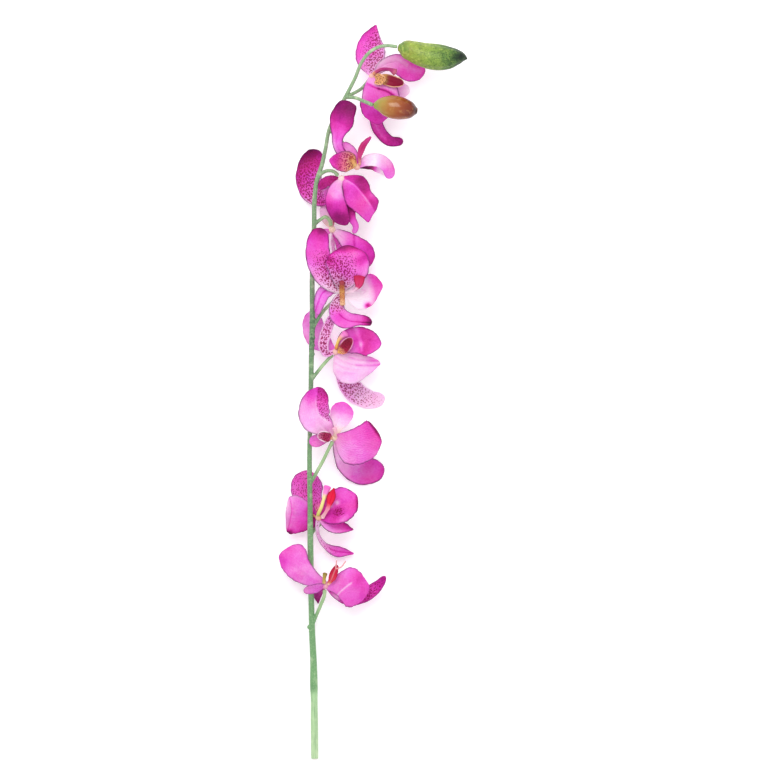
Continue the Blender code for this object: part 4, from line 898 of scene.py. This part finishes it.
def build_stem(material):
    """The stem and its stalks, melted together and smoothed at their joints."""
    pile = Pile()
    tube(pile, STEM_PATH, STEM_FINE, round_start=False)
    for bloom in BLOOMS:
        last = seat(bloom.hub, bloom.stalk[-1], HUB_RADIUS + SEAT_GAP + STALK_END_RADIUS * CAP_BULGE)
        path = [(*point, STALK_RADIUS) for point in bloom.stalk] + [(*last, STALK_END_RADIUS)]
        tube(pile, path, STALK_FINE)
    tube(pile, AMBER_STALK, STALK_FINE)
    places = np.asarray(STEM_PATH, float)
    for along, lean, radius in STEM_KNOBS:
        centre = [np.interp(along, places[:, 1], places[:, k]) for k in range(3)]
        ball(pile, np.add(centre, (lean, 0.0, KNOB_RISE)), radius)
    rough = pile.build("stem_fine", material, "stem")
    melt = rough.modifiers.new("melt", "REMESH")
    melt.mode = "VOXEL"
    melt.voxel_size = STEM_VOXEL * MM
    melt.use_smooth_shade = True
    soften = rough.modifiers.new("soften", "SMOOTH")
    soften.factor, soften.iterations = SOFTEN
    evaluated = rough.evaluated_get(bpy.context.evaluated_depsgraph_get())
    solid = bpy.data.meshes.new_from_object(evaluated)
    rough.modifiers.clear()
    mark_stalks(solid)
    rough.data = solid
    rough.data.materials.clear()
    rough.data.materials.append(material)


def mark_stalks(mesh):
    """Mark how far each point of the stem lies out on one of the lower, paler stalks."""
    line = smooth_curve(STEM_PATH, np.linspace(0.0, 1.0, PALE_STEPS))[:, :3]
    tree = KDTree(len(line))
    for number, point in enumerate(line):
        tree.insert(point, number)
    tree.balance()
    places = np.empty(len(mesh.vertices) * 3)
    mesh.vertices.foreach_get("co", places)
    places = places.reshape(-1, 3) / MM + MIDDLE
    away = np.array([tree.find(place)[2] for place in places])
    low = np.clip((PALE_TOP - places[:, 1]) / PALE_TOP_FADE, 0.0, 1.0)
    add_values(mesh, "stalk", ease((away - PALE_FROM) / PALE_FADE) * low)


def green_bud_shape(along, turn):
    """Radius scale of the green bud: three shallow seams that deepen to the tip."""
    seam = bell(abs(math.cos(1.5 * (turn + 0.5))), 0.16)
    return 1 - 0.07 * (0.3 + 0.7 * along) * seam + 0.012 * math.sin(3 * turn + 9 * along)


def amber_bud_shape(along, turn):
    """Radius scale of the amber bud, with one shallow seam."""
    return 1 - 0.03 * bell(abs(math.cos(turn - 0.9)), 0.12) + 0.008 * math.sin(2 * turn + 6 * along)


def build_bud(name, path, shape, material):
    """One bud with its seams."""
    pile = Pile("along")
    tube(pile, path, BUD_FINE, shape)
    pile.build(name + "_fine", material, name)


class Nodes:
    """A small helper that adds shader nodes to a new material and joins them up.

    Colours are sockets or six-digit web colours.
    """

    def __init__(self, name):
        self.material = bpy.data.materials.new(name)
        self.material.use_nodes = True
        self.tree = self.material.node_tree
        self.shader = self.tree.nodes["Principled BSDF"]

    def join(self, value, socket):
        """Join an output to an input, or set the input to a plain value."""
        if isinstance(value, bpy.types.NodeSocket):
            self.tree.links.new(value, socket)
        else:
            socket.default_value = (*srgb(value), 1.0) if isinstance(value, str) else value

    def add(self, kind, *values, **settings):
        """A new node with its settings, and with values for its first inputs."""
        node = self.tree.nodes.new("ShaderNode" + kind)
        for name, setting in settings.items():
            setattr(node, name, setting)
        for value, socket in zip(values, node.inputs):
            self.join(value, socket)
        return node

    def fill(self, node, **values):
        """The node with values for inputs that are given by name."""
        for name, value in values.items():
            self.join(value, node.inputs[name.replace("_", " ")])
        return node

    def value(self, name):
        """A point value of the mesh."""
        return self.add("Attribute", attribute_name=name).outputs["Fac"]

    def math(self, kind, *values, clamp=False):
        """A maths node."""
        return self.add("Math", *values, operation=kind, use_clamp=clamp).outputs[0]

    def plus(self, first, second, clamp=False):
        """The sum of two values."""
        return self.math("ADD", first, second, clamp=clamp)

    def times(self, first, second, clamp=False):
        """The product of two values."""
        return self.math("MULTIPLY", first, second, clamp=clamp)

    def past(self, value, limit, gain):
        """How far a value lies past a limit, times a gain and kept between 0 and 1."""
        return self.times(self.math("SUBTRACT", value, limit), gain, clamp=True)

    def within(self, value, gain):
        """What is left of 1 after the size of a value, times a gain, is taken off."""
        return self.math("SUBTRACT", 1.0, self.times(self.math("ABSOLUTE", value), gain), clamp=True)

    def stir(self, value, noise, reach, clamp=False):
        """The value moved either way by noise from 0 to 1."""
        return self.plus(value, self.times(self.math("SUBTRACT", noise, 0.5), reach), clamp=clamp)

    def vector(self, x, y, z=0.0):
        """A vector from three numbers."""
        return self.add("CombineXYZ", x, y, z).outputs[0]

    def place(self):
        """The point's place on the object."""
        return self.add("TexCoord").outputs["Object"]

    def noise(self, where, scale, detail=3.0):
        """Soft noise from 0 to 1."""
        return self.fill(self.add("TexNoise"), Vector=where, Scale=scale, Detail=detail).outputs["Fac"]

    def grain(self, scale, detail=3.0):
        """Soft noise that is fixed to the object."""
        return self.noise(self.place(), scale, detail)

    def cells(self, where, scale, space="2D"):
        """Distance to the nearest of a scatter of points."""
        node = self.add("TexVoronoi", voronoi_dimensions=space)
        return self.fill(node, Vector=where, Scale=scale).outputs["Distance"]

    def ramp(self, value, stops):
        """A colour ramp through (place, colour) stops."""
        node = self.add("ValToRGB", value)
        parts = node.color_ramp.elements
        while len(parts) < len(stops):
            parts.new(0.5)
        for part, (place, colour) in zip(parts, stops):
            part.position = place
            part.color = (*srgb(colour), 1.0)
        return node.outputs["Color"]

    def mix(self, share, first, second):
        """A mix of two colours."""
        node = self.fill(self.add("Mix", data_type="RGBA"), Factor=share)
        colours = [socket for socket in node.inputs if socket.type == "RGBA"]
        self.join(first, colours[0])
        self.join(second, colours[1])
        return next(socket for socket in node.outputs if socket.type == "RGBA")

    def turn_hue(self, share, reach, colour):
        """The colour with its hue turned either way by soft noise."""
        node = self.add("HueSaturation")
        return self.fill(node, Hue=self.stir(0.5, share, reach), Color=colour).outputs["Color"]

    def bump(self, height, distance, strength):
        """A bump from a height in shares of the distance."""
        node = self.fill(self.add("Bump"), Height=height, Distance=distance, Strength=strength)
        self.fill(self.shader, Normal=node.outputs["Normal"])

    def finish(self, colour, roughness, glow=0.0, coat=0.0, shine=0.5):
        """Set the colour and the surface, with a share of light let through from behind."""
        self.fill(self.shader, Base_Color=colour, Roughness=roughness)
        self.fill(self.shader, Coat_Weight=coat, Specular_IOR_Level=shine)
        if glow:
            through = self.fill(self.add("BsdfTranslucent"), Color=colour)
            blend = self.add("MixShader", glow, self.shader.outputs[0], through.outputs[0])
            self.join(blend.outputs[0], self.tree.nodes["Material Output"].inputs["Surface"])
        return self.material


def srgb(code):
    """Linear colour from a six-digit web colour."""
    parts = [int(code[i:i + 2], 16) / 255 for i in (0, 2, 4)]
    return tuple(p / 12.92 if p <= 0.04045 else ((p + 0.055) / 1.055) ** 2.4 for p in parts)


def petal_material():
    """Pink to magenta, with fine spots, veins, a dark margin, and the painted highlights and shade that the
    tone carries.
    """
    n = Nodes("petal_fine")
    u, v, inner, speckle = [n.value(name) for name in ("u", "v", "inner", "speckle")]
    flat = n.vector(u, v)
    # the tone value also holds painted highlights on folds and painted shade in creases and under other
    # petals
    tone = n.stir(n.value("tone"), n.grain(110.0), 0.3)
    tone = n.stir(tone, inner, 0.06)
    tone = n.stir(tone, n.grain(700.0, 2.0), 0.2)
    tone = n.plus(tone, n.times(n.times(speckle, inner), 0.13))
    colour = n.ramp(n.times(tone, 0.8, clamp=True), [
        (0.0, "fdeff9"), (0.14, "facdf1"), (0.3, "f3a0e4"), (0.42, "ee73d6"),
        (0.54, "e94dc5"), (0.66, "d42ea4"), (0.8, "a21975"), (1.0, "580a40"),
    ])
    colour = n.mix(n.value("gold"), colour, n.mix(n.grain(300.0), "f6d27c", "e8955c"))
    colour = n.turn_hue(n.grain(45.0, 2.0), 0.09, colour)
    turn = n.plus(n.times(n.value("across"), 62.0), n.times(n.noise(flat, 0.22), 16.0))
    ribs = n.times(n.plus(n.math("SINE", turn), 1.0), 0.5)
    veins = n.times(n.math("POWER", ribs, 5.0), n.times(n.value("veins"), 0.22))
    colour = n.mix(veins, colour, "b01f92")
    edge = n.plus(n.times(n.noise(flat, 0.3, 2.0), 1.3), 0.1)
    colour = n.mix(n.times(n.value("rim"), edge, clamp=True), colour, "5a0d4b")
    spot_colour = n.mix(n.grain(60.0, 1.0), "6a0442", "ba0e64")
    shake = n.times(n.noise(flat, 1.1, 2.0), 0.7)
    drawn = n.vector(n.plus(u, shake), n.plus(n.times(v, 0.8), shake))
    shown = n.plus(n.times(inner, 0.88), 0.12)
    for scale, largest, slack in ((0.58, 0.37, 0.0), (0.95, 0.33, 0.08)):
        size = n.math("SUBTRACT", n.times(speckle, largest), slack)
        mark = n.past(size, n.cells(drawn, scale), 10.0)
        colour = n.mix(n.times(n.times(mark, shown), 0.92), colour, spot_colour)
    n.bump(n.plus(ribs, n.times(n.grain(900.0), 0.8)), 0.00012, 0.45)
    return n.finish(colour, 0.5, glow=0.2, shine=0.14)


def lip_material(name, stops, rim_colour, rim, spots, streak):
    """Colours from foot to tip, with a rim, spots, a pale streak and golden side lobes."""
    n = Nodes(name)
    patch = n.grain(260.0)
    depth = n.stir(n.value("along"), patch, 0.16, clamp=True)
    lobe = n.value("lobe")
    colour = n.mix(lobe, n.ramp(depth, stops), "dda066")
    size = n.times(n.math("MAXIMUM", lobe, spots), 0.36)
    mark = n.past(size, n.cells(n.vector(n.value("u"), n.value("v")), 0.85), 9.0)
    colour = n.mix(n.times(mark, 0.85), colour, "5c0826")
    colour = n.mix(n.times(n.within(n.value("across"), 4.0), streak), colour, "f8c4c8")
    edge = n.math("SUBTRACT", 1.3, n.math("DIVIDE", n.value("rim"), 0.8), clamp=True)
    outer = n.past(depth, 0.35, 4.0)
    colour = n.mix(n.times(n.times(edge, outer), rim, clamp=True), colour, rim_colour)
    n.bump(patch, 0.0002, 0.5)
    return n.finish(colour, 0.42, glow=0.12, shine=0.2)


def column_material(name, stops, spots):
    """Colours from foot to cap, with spots."""
    n = Nodes(name)
    colour = n.ramp(n.stir(n.value("along"), n.grain(420.0), 0.2, clamp=True), stops)
    mark = n.past(0.3 * spots, n.cells(n.place(), 760.0, "3D"), 8.0)
    colour = n.mix(n.times(mark, 0.8), colour, "8c2430")
    return n.finish(colour, 0.45, glow=0.08, shine=0.2)


def stem_material():
    """Sage green with soft streaks, lighter and yellower towards the cut end."""
    n = Nodes("stem_fine")
    x, y, z = n.add("SeparateXYZ", n.place()).outputs
    up = n.math("DIVIDE", n.plus(y, BOX_CENTRE[1] * MM), STEM_SPAN, clamp=True)
    base = n.ramp(up, [
        (0.0, "b6d3a2"), (0.085, "a6cb99"), (0.095, "74a46e"), (0.35, "6f9568"),
        (0.6, "688663"), (0.85, "87a37c"), (1.0, "9bb48a"),
    ])
    streaks = n.noise(n.vector(n.times(x, 900.0), n.times(y, 45.0), n.times(z, 900.0)), 1.0)
    colour = n.mix(n.past(streaks, 0.38, 1.5), base, "527a55")
    colour = n.mix(n.past(n.grain(120.0, 4.0), 0.55, 3.0), colour, "c9dcb4")
    colour = n.mix(n.times(n.past(n.grain(800.0), 0.5, 3.0), 0.5), colour, "bcd4a8")
    colour = n.mix(n.times(n.value("stalk"), 0.55), colour, "b1cc98")
    knots = n.within(n.math("SUBTRACT", up, KNOT_AT), 24.0)
    colour = n.mix(n.times(n.times(knots, n.past(n.grain(480.0), 0.46, 9.0)), 0.85), colour, "2c5038")
    n.bump(streaks, 0.0003, 0.5)
    return n.finish(colour, 0.42, shine=0.3)


def green_bud_material():
    """Mottled lime, going to a dark grey-green tip."""
    n = Nodes("bud_green_fine")
    along = n.stir(n.value("along"), n.grain(130.0, 4.0), 0.45, clamp=True)
    colour = n.ramp(along, [
        (0.0, "6f8c3a"), (0.16, "95a644"), (0.5, "86a244"),
        (0.72, "587c36"), (0.86, "2f4a29"), (1.0, "141a1a"),
    ])
    blotch = n.grain(330.0, 4.0)
    colour = n.mix(n.times(n.past(blotch, 0.53, 4.0), n.past(0.95, along, 2.0)), colour, "bfd066")
    colour = n.mix(n.past(n.grain(210.0), 0.56, 4.0), colour, "4c6a34")
    brown = n.past(n.grain(260.0, 4.0), 0.5, 5.0)
    colour = n.mix(n.times(n.times(n.past(0.42, along, 3.0), brown), 0.55), colour, "86702f")
    grain = n.grain(1000.0)
    gathered = n.plus(n.times(along, 0.8), 0.1, clamp=True)
    colour = n.mix(n.times(n.past(grain, 0.48, 6.0), gathered), colour, "16300f")
    n.bump(n.plus(blotch, grain), 0.0006, 0.7)
    return n.finish(colour, 0.38, coat=0.1, shine=0.25)


def amber_bud_material():
    """Yellow-green at the foot, orange, then glossy brown-red."""
    n = Nodes("bud_amber_fine")
    colour = n.ramp(n.stir(n.value("along"), n.grain(110.0), 0.35, clamp=True), [
        (0.0, "8a9440"), (0.16, "a38a40"), (0.34, "a46a30"),
        (0.6, "924620"), (0.85, "742a18"), (1.0, "3f1614"),
    ])
    colour = n.mix(n.past(n.grain(260.0), 0.56, 2.5), colour, "b98647")
    return n.finish(colour, 0.2, coat=0.35, shine=0.3)


def build_stage():
    """A plain pale floor, soft light from above and a camera that looks straight down."""
    mesh = bpy.data.meshes.new("floor")
    corners = [(x * FLOOR_HALF, y * FLOOR_HALF, 0) for x, y in ((-1, -1), (1, -1), (1, 1), (-1, 1))]
    mesh.from_pydata(corners, [], [(0, 1, 2, 3)])
    n = Nodes("floor_pale")
    n.fill(n.shader, Emission_Color=WHITE, Emission_Strength=FLOOR_GLOW)
    mesh.materials.append(n.finish("f4f2f4", 0.9))
    floor = link_object("floor", mesh, (0, 0, -FLOOR_DROP))

    world = bpy.data.worlds.new("soft")
    world.use_nodes = True
    background = world.node_tree.nodes["Background"].inputs
    background["Color"].default_value = WHITE
    background["Strength"].default_value = SKY
    bpy.context.scene.world = world
    for name, place, power, size in LAMPS:
        lamp = bpy.data.lights.new(name, "AREA")
        lamp.energy = power
        lamp.size = size
        thing = link_object(name, lamp, place)
        thing.rotation_mode = "QUATERNION"
        thing.rotation_quaternion = (-thing.location).to_track_quat("-Z", "Y")

    view = bpy.data.cameras.new("camera")
    view.lens = LENS
    view.sensor_width = SENSOR
    view.clip_end = FAR_CLIP
    middle = PHOTO_PIXELS / 2
    bpy.context.scene.camera = link_object("camera", view, (
        ((middle - FOOT_PIXEL) * PIXEL_MM - BOX_CENTRE[0]) * MM,
        ((PHOTO_PIXELS - middle) * PIXEL_MM - BOX_CENTRE[1]) * MM,
        PHOTO_PIXELS * PIXEL_MM * MM * view.lens / view.sensor_width + CAMERA_RISE,
    ))
    bpy.context.scene.view_settings.view_transform = "Standard"


petal_look = petal_material()
tables = zip(BLOOMS, LOOKS, HEARTS, LIPS, COLUMNS, strict=True)
for bloom_number, (parts, looks, heart, lip_look, column_look) in enumerate(tables, 1):
    bloom_name = f"bloom_{bloom_number}"
    build_petals(bloom_name, parts, looks, heart, petal_look)
    build_lip(bloom_name, parts, lip_material(bloom_name + "_lip_look", *lip_look))
    build_column(bloom_name, parts, column_material(bloom_name + "_column_look", *column_look))
build_stem(stem_material())
build_bud("bud_green", GREEN_BUD, green_bud_shape, green_bud_material())
build_bud("bud_amber", AMBER_BUD, amber_bud_shape, amber_bud_material())
build_stage()
